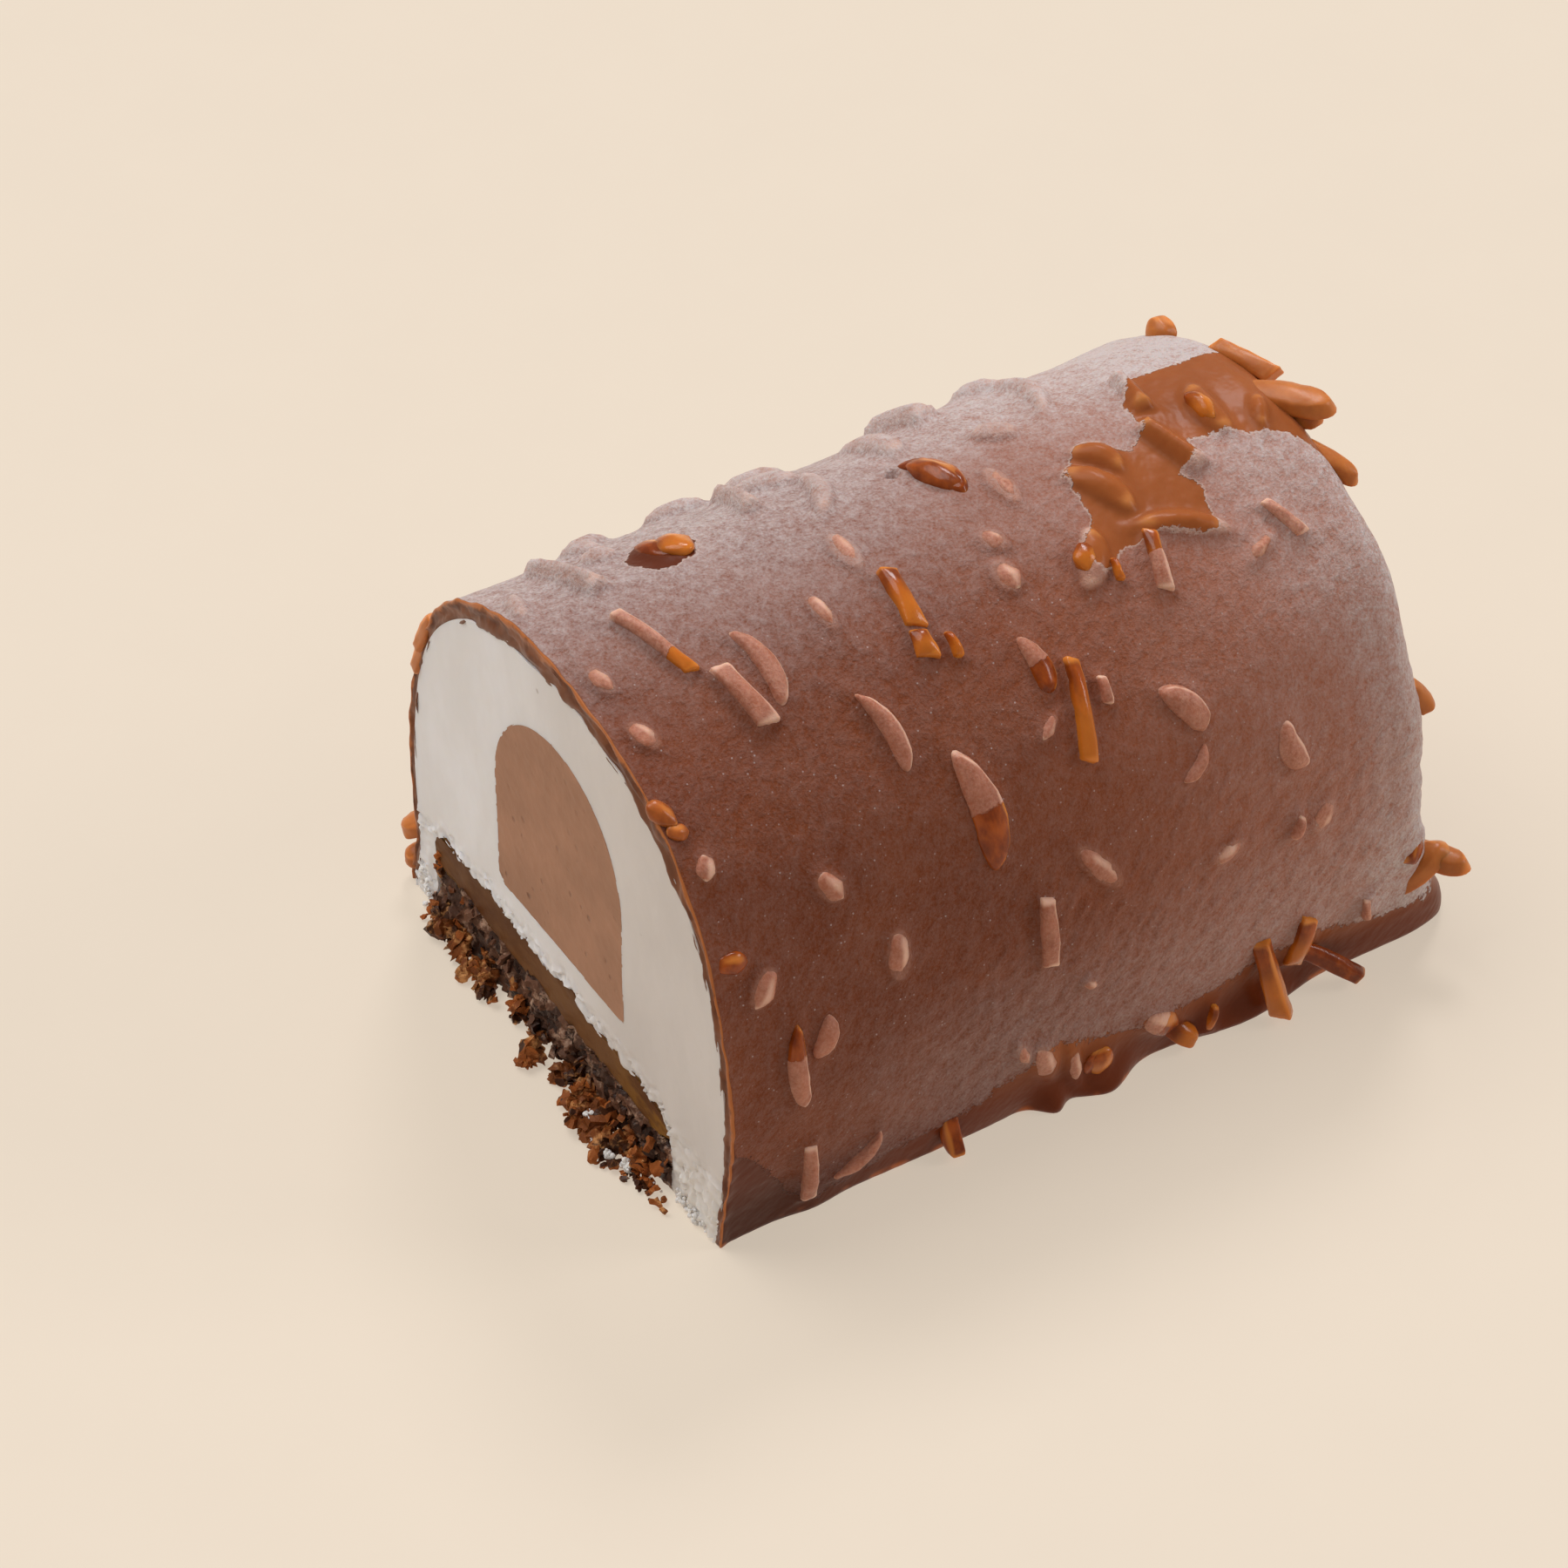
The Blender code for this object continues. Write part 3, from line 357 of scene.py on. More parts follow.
LIP_DIP_LENGTH = 2.4
LIP_DIP_BREADTH = 9.0
PINHOLE = (54.4, -10.0)
PINHOLE_DEPTH = 1.6
PINHOLE_RADIUS = 0.75

# Frost. The bare places are outlines of (along, round). FROST_FOOT gives how far down the
# right-hand side the frost reaches, as (along, round).
BARE_PATCHES = (
    ((106.0, -9.0), (103.6, -8.5), (95.4, -8.0), (89.8, -8.6), (85.4, -4.0), (84.4, 1.7), (81.4, 3.7),
     (75.3, 0.2), (71.6, 3.2), (70.8, 11.0), (66.5, 14.7), (68.1, 18.0), (71.5, 16.1), (77.6, 15.7),
     (84.6, 18.3), (86.3, 12.3), (84.9, 9.4), (89.1, 7.6), (88.8, 5.0), (94.0, 6.0), (101.4, 9.7),
     (105.1, 14.2), (107.5, 18.8), (110.0, 10.0), (110.0, -8.0)),
    ((18.6, -15.0), (20.2, -17.0), (23.2, -17.6), (26.2, -16.0), (27.4, -13.0), (26.0, -10.2),
     (22.8, -9.0), (19.8, -10.2), (18.4, -12.6)),
)
FROST_FOOT = (
    (-2.0, 70.0), (4.0, 76.0), (9.0, 85.0), (13.0, 90.0), (26.0, 87.0), (35.0, 86.0), (44.0, 82.2),
    (47.0, 78.6), (59.0, 83.0), (74.0, 83.4), (80.0, 82.0), (87.0, 80.4), (101.0, 85.0), (112.0, 83.5),
)
BARE_FOOT = 7.0
FOOT_SOFTNESS = 3.0
FROST_EDGE = 4.0  # over this many millimetres the cover goes from none to whole

# How thick the frost is: a thin layer everywhere, and more in each zone; at the far rim the extra is
# partly a painted highlight. The ranges are the millimetres over which a zone begins or ends.
THIN_FROST = 0.05
RIDGE_FROST = 0.6
RIDGE_FROM = -26.0
RIDGE_TO = 18.0
RIDGE_WIDENS = 6.0
RIDGE_WIDENING = (4.0, 26.0)
FAR_SIDE_LEAST = 0.35
FAR_SIDE = (-84.0, -44.0)
RIDGE_END = (105.0, 117.0)
DOWN_THE_END = 0.85  # how much of the frost is lost on the way down the far end
THINNER = 0.55
THINNER_PLACE = (67.0, -1.0)
THINNER_REACH = (13.0, 8.0)
FAR_FROST = 0.15
FAR_FROM = (54.0, 98.0)
EDGE_FROST = 0.26
EDGE_FROM = 80.0
EDGE_TO = 101.0
EDGE_NARROWS = 12.0
EDGE_NARROWING = (24.0, 44.0)
# Partly frost, partly a painted highlight along the rim of the far edge.
FAR_RIM_FROST_AND_HIGHLIGHT = 0.25
RIM_FROM = (100.5, 104.5)
RIM_END = (107.0, 115.0)
LOW_FROST = 0.16
LOW_FROM = (56.0, 76.0)
LOW_ALONG = (4.0, 45.0)
ALMOND_FROST = 0.24  # almonds carry more than the chocolate round them
FROST_COLOUR = (198, 185, 182)
ALMOND_FROST_COLOUR = (210, 158, 136)

# How finely the almonds and the cut layers are worked.
BLOCK_CUTS = 9
BLOCK_ROUNDING = 0.38
CREST_WIDTH = 1.0  # how far the paler crest, partly thin frost and partly a painted highlight, reaches in from a piece's upper edge
DIM_SIDE = 0.25  # how pale the painted highlight on the crest stays on the side that faces the cut, which lies in shade
# Painted highlight: the crest is paler on the side away from the cut and at both tips.
PALE_SIDE = (-0.4, 0.6)
PALE_TIP = (0.72, 1.0)
SUNK_DIMMING = 0.5
TOP_DOME = 0.7
STICK_SLANT = 0.35
STICK_BELOW = 3.0  # narrower pieces that stand out are sticks
POINTED = 0.2
CHIP_CUTS = 3
CHIP_SMOOTHING = 2
CHIP_REGAIN = 1.2
CHIP_CREST = (0.05, 0.5)
MOST_TILT = 13.0
MOST_PITCH = 4.0
UNEVEN = 0.16
UNEVEN_LENGTH = 2.0
NICKS = 0.07
NICK_LENGTH = 0.7
SEED_STRIDE = 3.7
BARE_EDGE = 1.5
BEYOND = 3.0  # how far raw shapes run past the floor and the cut before they are trimmed
ROOM = 5.0  # how far the worked faces reach past a layer's outline
VANILLA_ROOM = 6.0
CARAMEL_HEIGHTS = (2.0, 22.0)
BISCUIT_HEIGHTS = (-5.0, 15.0)
CORE_TOP_STEPS = 48
BAND_STEPS = 150
INSIDE_PITCH = 0.7
OVERLAP = 0.25
TUCKED = 0.15
SHARP_ANGLE = math.radians(50)
VANILLA_PITCH = 0.5
CORE_PITCH = 0.4
CARAMEL_PITCH = 0.4
BISCUIT_PITCH = 0.32
CUT_WAVE = 0.1
CUT_WAVE_LENGTHS = (9.0, 14.0)
CUT_GRAIN = 0.03
SNOW_RELIEF = 0.8
SNOW_LENGTH = 1.1
SNOW_RIGHT = (24.0, 28.0)
SNOW_LEFT = (33.0, 36.0)
SNOW_HEIGHTS = (4.0, 13.0)
TORN_RELIEF = 0.6
TORN_HEIGHT = 0.9
TORN_LENGTH = 1.5
TORN_MIDDLE = 0.8
TORN_BAND = (0.5, 3.2)
SCRAPED_LENGTHS = (2.6, 0.7)
CORE_GRAIN = 0.06
CORE_GRAIN_LENGTH = 1.4
CARAMEL_WAVE = 0.12
CARAMEL_WAVE_LENGTHS = (3.0, 1.6)
BISCUIT_RAGGED = 1.0
BISCUIT_RAGGED_LENGTH = 1.7
CRUMB_SIZE = 3.0
CRUMB_RELIEF = 1.3
CRUMB_LEVEL = 0.6
CRUMB_GRAIN = 0.55

# Crumbs at the foot of the cut: x, how far in front, height and radius. The clinging ones lie
# where the solids have them, the larger ones on and among them. Snow is broken ice cream.
CRUMB_SEED = 5
CLINGING_CRUMBS = (
    (-30.0, 0.6, 2.4, 2.6),
    (-26.0, 1.2, 1.6, 2.3),
    (-20.0, 1.0, 1.5, 2.2),
    (-11.0, 0.8, 1.6, 1.8),
    (2.0, 1.4, 1.2, 2.0),
    (6.5, 1.4, 1.2, 2.0),
    (11.5, 2.2, 1.4, 2.6),
    (16.0, 2.2, 1.3, 2.4),
    (20.5, 1.6, 1.2, 2.0),
)
LARGER_CRUMBS = (
    (-32.5, -0.5, 8.2, 1.4),
    (-32.8, -0.7, 10.6, 1.1),
    (-3.2, 4.3, 0.7, 1.25),
    (-17.2, 2.4, 1.2, 1.7),
)
CRUMB_SNOW = (
    (10.8, 3.6, 2.4, 0.7),
    (13.4, 4.6, 0.9, 0.5),
    (17.0, 4.4, 1.3, 0.6),
    (19.8, 3.6, 1.2, 0.7),
)
CLINGING_SNOW = (
    (27.4, 0.2, 0.8, 1.2), (28.8, 0.5, 1.0, 1.3), (30.2, 0.3, 0.9, 1.4), (31.6, 0.6, 0.7, 1.2),
    (33.0, 0.3, 1.0, 1.2), (-35.2, 0.4, 1.0, 1.2), (-36.2, 0.4, 2.4, 1.3), (-37.2, 0.3, 4.2, 1.2),
)
CRUMB_CLUSTERS = (  # loose on the floor: x, how far in front, how many, how large
    (-32.4, 0.8, 12, 3.6), (-29.4, 1.4, 14, 3.8), (-26.6, 1.2, 8, 3.0), (-21.0, 2.2, 12, 3.8),
    (-17.8, 1.8, 8, 3.2), (-14.4, 2.8, 3, 2.0), (-11.0, 0.8, 9, 2.6), (-7.0, 0.6, 7, 2.6),
    (-3.6, 3.6, 5, 4.6), (2.4, 1.8, 5, 2.4), (7.5, 3.2, 14, 3.6), (10.5, 3.8, 18, 4.0),
    (13.5, 4.2, 14, 3.4), (16.4, 4.6, 9, 2.8), (19.4, 3.4, 9, 2.4), (22.4, 2.6, 9, 2.4),
    (25.2, 2.0, 8, 2.2),
)
SNOW_CLUSTERS = (  # likewise
    (10.0, 4.0, 4, 1.2), (14.0, 3.6, 4, 1.2), (19.5, 2.9, 5, 1.4), (24.0, 2.2, 5, 1.4),
    (-35.5, 1.2, 6, 1.4),
)
SNOW_LUMPS = 30
SNOW_SIZES = (0.13, 0.42)
SNOW_ROUGH = 0.4
SNOW_ROUGH_PITCH = 1.3
SNOW_SPREAD = 0.5
CLUSTER_SPREAD = (1.2, 0.6)
LOOSE_INSET = 1.0
LEAST_FLAKE = 0.9
FLAKE_SKEW = 1.2  # above 1 there are more small flakes than large ones
FLAKE_CORNERS = (7, 12)
FLAKE_JITTER = (0.5, 1.15)
FLAKE_TAPER = (0.6, 1.0)
FLAKE_BREADTHS = (0.5, 0.95)
FLAKE_THICKNESS = (0.16, 0.4)
FLAKE_TILT = 0.8
FLAKE_CRUMPLE = 0.13
FLAKE_CRUMPLE_LENGTH = 0.9
CRUMPLE_SLICES = 50
CLUMP_CORE = 0.7
CLUMP_JITTER = (0.7, 1.15)
CLUMP_FLAKES = 12
CLUMP_REACH = 0.7
CLUMP_SIZES = (0.7, 1.7)
FACE_FLAKES = 46
GOLDEN_FLAKES = 11
FACE_SIZES = (1.4, 3.6)
FACE_INSET = 0.2
FACE_FORWARD = (-0.5, 0.9)
FACE_BOTTOM = 0.3
FACE_BELOW_TOP = 0.4
BISCUIT_TONES = ((54, 32, 23), (110, 74, 55), (178, 144, 122))  # dark, mid and bright; the dark tone is partly painted shade in the gaps
CRUMB_TONES = ((66, 34, 16), (158, 86, 36), (214, 152, 94))

# The studio.
FLOOR_COLOUR = (237, 222, 203)
FLOOR_LIT = 0.365  # the share of the floor's colour that the lights bring out
FLOOR_GLOW = 0.58  # and the share that it gives off itself, which keeps the shadows pale
FLOOR_GRAIN = 0.02
FLOOR_HALF = 6.0
FLOOR_BELOW = 0.0002
SURROUND_COLOUR = (1.0, 0.99, 0.98)
SURROUND_STRENGTH = 0.3
SUNS = (  # name, strength, colour, breadth, elevation and heading, all three in degrees
    ("left_light", 1.72, (1.0, 0.99, 0.98), 44.0, 60.0, -56.0),
    ("back_light", 1.15, (0.98, 0.97, 1.0), 16.0, 50.0, -128.0),
    ("right_light", 0.8, (1.0, 0.97, 0.98), 22.0, 30.0, 150.0),
)
CAMERA_LENS = 140.0
CAMERA_SENSOR = 36.0
CAMERA_CLIP = 0.01
CAMERA_PLACE = (477.71, -317.98, 560.67)
CAMERA_HEADING = 58.10
CAMERA_ELEVATION = 43.12


def srgb(red, green, blue):
    """A colour as read off a screen, turned into Blender's linear values."""
    shares = (value / 255 for value in (red, green, blue))
    return tuple(s / 12.92 if s < 0.04045 else ((s + 0.055) / 1.055) ** 2.4 for s in shares)


# ---------------------------------------------------------------- the arch and the coating


def arch_table():
    """The arch's outline as x, z and the distance walked from the ridge."""
    lean = np.sin(np.linspace(-1.0, 1.0, TABLE_STEPS) * math.pi / 2)
    height = LOG_HEIGHT * (1 - np.abs(lean) ** ARCH_FULLNESS) ** (1 / ARCH_SHOULDER)
    tuck = FOOT_TUCK * np.clip(1 - height / TUCK_HEIGHT, 0.0, 1.0) ** 2
    across = lean * (LOG_WIDTH / 2 - tuck)
    steps = np.hypot(np.diff(across), np.diff(height))
    walked = np.concatenate([[0.0], np.cumsum(steps)])
    return across, height, walked - walked[-1] / 2


ARCH_X, ARCH_Z, ARCH_ROUND = arch_table()
GIRTH = ARCH_ROUND[-1]
STRAIGHT = LOG_LENGTH - END_RADIUS
OVER_EDGE = END_RADIUS * math.pi / 2


def rise(value, low, high):
    """Climbs smoothly from 0 at low to 1 at high."""
    share = np.clip((value - low) / (high - low), 0.0, 1.0)
    return share**2 * (3 - 2 * share)


def noise_at(*coordinates):
    """Noise at many points; each coordinate is an array or a number."""
    points = np.stack(np.broadcast_arrays(*coordinates), axis=-1).reshape(-1, 3)
    return np.array([noise.noise(point) for point in points.tolist()])


def skin_point(along, around, inset=0.0):
    """Points on the smooth outline, or on a smaller one inside it."""
    straight = STRAIGHT - inset
    turn = np.clip((along - straight) / END_RADIUS, 0.0, math.pi / 2)
    past = np.maximum(along - straight - OVER_EDGE, 0.0)
    y = np.minimum(along, straight) + END_RADIUS * np.sin(turn)
    sunk = inset + END_RADIUS * (1 - np.cos(turn)) + past
    x = np.interp(around, ARCH_ROUND, ARCH_X) * (1 - sunk / (LOG_WIDTH / 2))
    z = np.interp(around, ARCH_ROUND, ARCH_Z) * (1 - sunk / LOG_HEIGHT)
    flare = FLARE_REACH * np.exp(-((along / FLARE_LENGTH) ** 2) - (z / FLARE_HEIGHT) ** 2)
    x = x - np.where(around < 0, flare, 0.0)
    return np.stack([x, y - LOG_LENGTH / 2, z], axis=-1)


def unit(vectors):
    return vectors / np.linalg.norm(vectors, axis=-1, keepdims=True)


def skin_frame(along, around):
    """The skin's points, outward normals, and directions along the log and round it."""
    step = NORMAL_STEP
    on = skin_point(along + step, around) - skin_point(along - step, around)
    down = skin_point(along, around + step) - skin_point(along, around - step)
    normal = unit(np.cross(down, on))
    on = unit(on - normal * np.sum(on * normal, axis=-1, keepdims=True))
    return skin_point(along, around), normal, on, np.cross(on, normal)


def wave(along, around):
    """How far the poured chocolate stands above the smooth outline."""
    slow = noise_at(along / WAVE_LENGTH, around / WAVE_BREADTH, WAVE_SEED)
    quick = noise_at(along / RIPPLE_LENGTH, around / RIPPLE_LENGTH, RIPPLE_SEED)
    return WAVE_HEIGHT * slow + RIPPLE_HEIGHT * quick


def pool_reach(along, around, height):
    """How far the foot of a side spreads over the floor."""
    reach = 0.0
    for side, place, most, breadth in POOLS:
        most = np.where(side * around > 0, most, 0.0)
        reach = reach + most * np.exp(-(((along - place) / breadth) ** 2))
    return reach * np.exp(-((height / POOL_DEPTH) ** 2))


def end_reach(along, height):
    """How far the foot of the far end spreads over the floor."""
    share = rise(along, STRAIGHT - END_POOL_RISE, STRAIGHT + OVER_EDGE / 2)
    pool = END_POOL_REACH * np.exp(-((height / END_POOL_DEPTH) ** 2))
    lean = END_LEAN * np.maximum(1 - height / END_LEAN_HEIGHT, 0.0)
    return (pool + lean) * share


def coat_depth(around):
    """The coating's thickness, which changes round the arch."""
    ridge = np.exp(-((around / COAT_RIDGE_SPREAD) ** 2))
    ripple = noise_at(around / COAT_RIPPLE_LENGTH, COAT_RIPPLE_SEED, 0.0)
    return COAT_SIDE + ridge * (COAT_RIDGE_EXTRA + COAT_RIPPLE * ripple)


def coat_surface(along, around, relief=0.0):
    """Points on the outside of the coating, raised by the relief."""
    here, normal, _, _ = skin_frame(along, around)
    level = normal * (1.0, 1.0, 0.0)
    outwards = np.where(here[:, 2:] > FLAT_FOOT, normal, level)
    lift = outwards * (wave(along, around) + relief)[:, None]
    spread = np.maximum(np.abs(level).sum(axis=-1), LEAST_LEVEL)
    lift += level * (pool_reach(along, around, here[:, 2]) / spread)[:, None]
    lift[:, 1] += end_reach(along, here[:, 2])
    return here + lift


def inside_surface(along, around, overlap=0.0):
    """Points on the inside of the coating, or a little into its thickness."""
    _, normal, _, _ = skin_frame(along, around)
    return skin_point(along, around, coat_depth(around)) + normal * overlap


# ---------------------------------------------------------------- the almonds' places

Piece = namedtuple(
    "Piece", "kind along around length width turn bow bare jitter", defaults=(FROSTED, None)
)
PROUD = {"sliver": SLIVER_PROUD, "slice": SLICE_PROUD, "chip": CHIP_PROUD}


def scattered_places(draw):
    """Places on the far side and the far end, none close to another."""
    end_starts = STRAIGHT + OVER_EDGE
    chosen = []
    for _ in range(SCATTER_TRIES):
        along = draw.uniform(SCATTER_FROM_CUT, end_starts + SCATTER_DOWN_END)
        around = draw.uniform(-GIRTH + SCATTER_FROM_FOOT, GIRTH - SCATTER_FROM_FOOT)
        if around > SCATTER_FAR_SIDE and along < end_starts + SCATTER_OVER_EDGE:
            continue
        place = skin_point(along, around)
        if all(np.linalg.norm(place - other[2]) > SCATTER_SPACING for other in chosen):
            chosen.append((along, around, place))
        if len(chosen) == SCATTER_COUNT:
            break
    return chosen


def chip_jitter(draw):
    return [draw.uniform(*CHIP_JITTER) for _ in range(CHIP_CORNERS)]


def all_pieces():
    """Every almond piece that lies on the coating, in the order in which the solids draw them."""
    draw, bare_draw = random.Random(SCATTER_SEED), random.Random(BARE_SEED)
    pieces = [Piece("sliver", *row[:5], 0.0, *row[5:]) for row in SLIVERS]
    pieces += [Piece("slice", *row) for row in SLICES]
    chips = [Piece("chip", *row[:5], 0.0, *row[5:]) for row in CHIPS]
    pieces += [piece._replace(jitter=chip_jitter(draw)) for piece in chips]
    for along, around, _ in scattered_places(draw):
        kind, turn = draw.random(), draw.uniform(0, 180)
        bare = BARE if bare_draw.random() < BARE_SHARE else FROSTED
        if kind < SLIVER_SHARE:
            name, lengths, widths = "sliver", SLIVER_LENGTHS, SLIVER_WIDTHS
        elif kind < SLIVER_SHARE + SLICE_SHARE:
            name, lengths, widths = "slice", SLICE_LENGTHS, SLICE_WIDTHS
        else:
            name, lengths, widths = "chip", CHIP_LENGTHS, CHIP_WIDTHS
        length, width = draw.uniform(*lengths), draw.uniform(*widths)
        bow = draw.uniform(*SLICE_BOWS) if name == "slice" else 0.0
        jitter = chip_jitter(draw) if name == "chip" else None
        pieces.append(Piece(name, along, around, length, width, turn, bow, bare, jitter))
    return pieces


def piece_depth(piece, along, around):
    """How far inside a piece's outline points of the coating lie, and where along the piece."""
    past = max(piece.along - STRAIGHT - OVER_EDGE, 0.0)
    squeeze = 1 - past / (LOG_WIDTH / 2)
    forward, aside = along - piece.along, (around - piece.around) * squeeze
    heading = math.radians(piece.turn)
    u = forward * math.cos(heading) + aside * math.sin(heading)
    v = forward * math.sin(heading) - aside * math.cos(heading)
    share = 2 * u / piece.length
    if piece.kind == "sliver":
        taper = (1 + SLIVER_THIN_END) / 2 + (1 - SLIVER_THIN_END) / 2 * share
        depth = np.minimum(piece.length / 2 - np.abs(u), piece.width / 2 * taper - np.abs(v))
    else:
        v = v - piece.bow * (BOW_MIDDLE - share**2)
        depth = (1 - np.hypot(share, 2 * v / piece.width)) * min(piece.length, piece.width) / 2
    return depth, (share + 1) / 2


def near_piece(piece, along, around):
    reach = piece.length / 2 + NEAR_MARGIN
    return (np.abs(along - piece.along) < reach) & (np.abs(around - piece.around) < 2 * reach)


def smothered(piece):
    """How far an almond is sunk in chocolate: wholly in the large bare patch and on the ridge.

    On the ridge only the frosted ones are. Frosted chips are partly sunk everywhere.
    """
    place = np.array([piece.along]), np.array([piece.around])
    if outline_distance(BARE_PATCHES[0], *place)[0] < 0:
        return 1.0
    if piece.bare is not FROSTED:
        return 0.0
    sunk = (1 - rise(piece.around, *SUNK_TO_NEAR_SIDE)) * rise(piece.around, *SUNK_TO_FAR_SIDE)
    sunk = float(sunk) * (1 - float(rise(piece.along, *SUNK_TO_END)))
    return max(sunk, SUNK_CHIPS) if piece.kind == "chip" else sunk


def almond_relief(pieces, along, around):
    """How far the chocolate climbs where it wraps the foot of each almond."""
    relief = np.zeros_like(along)
    for piece in pieces:
        near = near_piece(piece, along, around)
        depth, _ = piece_depth(piece, along[near], around[near])
        deep = smothered(piece)
        share = COLLAR_SHARE + (COLLAR_MOST - COLLAR_SHARE) * deep
        reach = COLLAR_REACH + (COLLAR_SPREAD - COLLAR_REACH) * deep
        dome = 1 + DOMED * deep * rise(depth, 0.0, DOME_REACH)
        climb = share * PROUD[piece.kind] * np.exp(np.minimum(depth, 0.0) / reach) * dome
        relief[near] = np.maximum(relief[near], climb)
    return relief


def almond_tips(pieces, along, around):
    """1 at the ends of the almonds that are sunk in chocolate, where it lies thinnest and where a pale
    highlight is painted.
    """
    tips = np.zeros_like(along)
    for piece in pieces:
        deep = smothered(piece)
        if deep == 0.0:
            continue
        near = near_piece(piece, along, around)
        depth, share = piece_depth(piece, along[near], around[near])
        tip = deep * rise(abs(2 * share - 1), TIPS_FROM, 1.0) * rise(depth, -TIP_SPREAD, TIP_SPREAD)
        tips[near] = np.maximum(tips[near], tip)
    return tips


# ---------------------------------------------------------------- where the frost lies


def outline_distance(outline, x, y):
    """Distance to a closed outline, negative inside it."""
    nearest = np.full(x.shape, np.inf)
    inside = np.zeros(x.shape, dtype=bool)
    for (x0, y0), (x1, y1) in zip(outline, outline[1:] + outline[:1]):
        wide, tall = x1 - x0, y1 - y0
        share = ((x - x0) * wide + (y - y0) * tall) / (wide**2 + tall**2)
        share = np.clip(share, 0.0, 1.0)
        nearest = np.minimum(nearest, np.hypot(x - x0 - share * wide, y - y0 - share * tall))
        crossed = (y0 > y) != (y1 > y)
        slope = wide / tall if tall else 0.0
        inside ^= crossed & (x < x0 + slope * (y - y0))
    return np.where(inside, -nearest, nearest)


def frost_cover(along, around, height):
    """1 under frost, 0 where the chocolate is bare, and 0.5 along the edge between them.

    Also returns where that edge is crisp: round the bare patches, not at the foot.
    """
    foot_right = np.interp(along, *np.transpose(FROST_FOOT)) - around
    foot_left = around + GIRTH - BARE_FOOT
    beyond = along > STRAIGHT + OVER_EDGE
    foot = np.where(beyond, height - BARE_FOOT, np.minimum(foot_right, foot_left)) / FOOT_SOFTNESS
    edge = np.full(along.shape, FROST_EDGE)
    for outline in BARE_PATCHES:
        edge = np.minimum(edge, outline_distance(outline, along, around))
    cover = np.clip(0.5 + np.minimum(edge, foot) / FROST_EDGE, 0.0, 1.0)
    return cover, (edge < foot).astype(float)


def frost_weight(along, around):
    """How thick the frost is: thickest over the ridge, round the far edge and low on the side; at the
    far rim partly a painted highlight.
    """
    off_along = (along - THINNER_PLACE[0]) / THINNER_REACH[0]
    off_around = (around - THINNER_PLACE[1]) / THINNER_REACH[1]
    ridge = RIDGE_FROST * (1 - THINNER * np.exp(-(off_along**2) - off_around**2))
    ridge *= 1 - rise(around, RIDGE_FROM, RIDGE_TO + RIDGE_WIDENS * rise(along, *RIDGE_WIDENING))
    ridge *= FAR_SIDE_LEAST + (1 - FAR_SIDE_LEAST) * rise(around, *FAR_SIDE)
    ridge *= 1 - DOWN_THE_END * rise(along, *RIDGE_END)
    edge = EDGE_FROST * rise(along, EDGE_FROM + EDGE_NARROWS * rise(around, *EDGE_NARROWING), EDGE_TO)
    edge = (edge + FAR_RIM_FROST_AND_HIGHLIGHT * rise(along, *RIM_FROM)) * (1 - DOWN_THE_END * rise(along, *RIM_END))
    low = LOW_FROST * rise(around, *LOW_FROM) * rise(along, *LOW_ALONG)
    return np.clip(THIN_FROST + ridge + FAR_FROST * rise(along, *FAR_FROM) + edge + low, 0.0, 1.0)


# ---------------------------------------------------------------- mesh tools


def finished(name, bm, material):
    """Turns a bmesh in millimetres into a piece that rides with the log."""
    bm.transform(Matrix.Scale(MM, 4))
    mesh = bpy.data.meshes.new(name)
    bm.to_mesh(mesh)
    bm.free()
    mesh.materials.append(material)
    mesh.shade_smooth()
    obj = bpy.data.objects.new(name, mesh)
    bpy.context.scene.collection.objects.link(obj)
    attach(obj, "root")
    return obj


def face_outwards(bm):
    bmesh.ops.recalc_face_normals(bm, faces=bm.faces)
    if bm.calc_volume(signed=True) < 0:
        bmesh.ops.reverse_faces(bm, faces=bm.faces)


def moved_verts(grown):
    """The vertices among what an extrusion has made."""
    return [item for item in grown["geom"] if isinstance(item, bmesh.types.BMVert)]


def crisp(name, bm, material):
    """A finished piece whose sharper edges stay crisp."""
    obj = finished(name, bm, material)
    obj.data.set_sharp_from_angle(angle=SHARP_ANGLE)
    return obj


def grid_shell(shell):
    """A grid over rows and columns of points, with its vertices by row and column."""
    rows, columns = shell.shape[:2]
    bm = bmesh.new()
    bmesh.ops.create_grid(bm, x_segments=columns - 1, y_segments=rows - 1, size=1.0)
    at = {}
    for vert in bm.verts:
        row = round((vert.co.y + 1) / 2 * (rows - 1))
        column = round((vert.co.x + 1) / 2 * (columns - 1))
        vert.co = shell[row, column]
        at[row, column] = vert
    return bm, at


def spaced(start, stop, pitch):
    """Evenly spaced values from start to stop."""
    return np.linspace(start, stop, max(1, round((stop - start) / pitch)) + 1)


def set_values(mesh, name, values):
    mesh.attributes.new(name, "FLOAT", "POINT").data.foreach_set("value", values.astype(np.float32))


# ---------------------------------------------------------------- the chocolate coating


def coat_columns():
    """Distances round the arch: wide apart on the far side, close where the coating shows."""
    hidden = spaced(-GIRTH, SHOWN_FROM, HIDDEN_PITCH)[:-1]
    return np.concatenate([hidden, spaced(SHOWN_FROM, GIRTH, COAT_PITCH)])


def coat_rows(barrel, end_pitch):
    """Distances from the cut over the barrel and its far edge, then down the far end."""
    end_starts = STRAIGHT + OVER_EDGE
    end_stops = end_starts + LOG_WIDTH / 2 - END_RADIUS - END_CLOSING
    return np.concatenate([barrel, spaced(end_starts, end_stops, end_pitch)])


def crossings(rows, columns):
    """Where each row crosses each column, row by row."""
    return (grid.ravel() for grid in np.meshgrid(rows, columns, indexing="ij"))


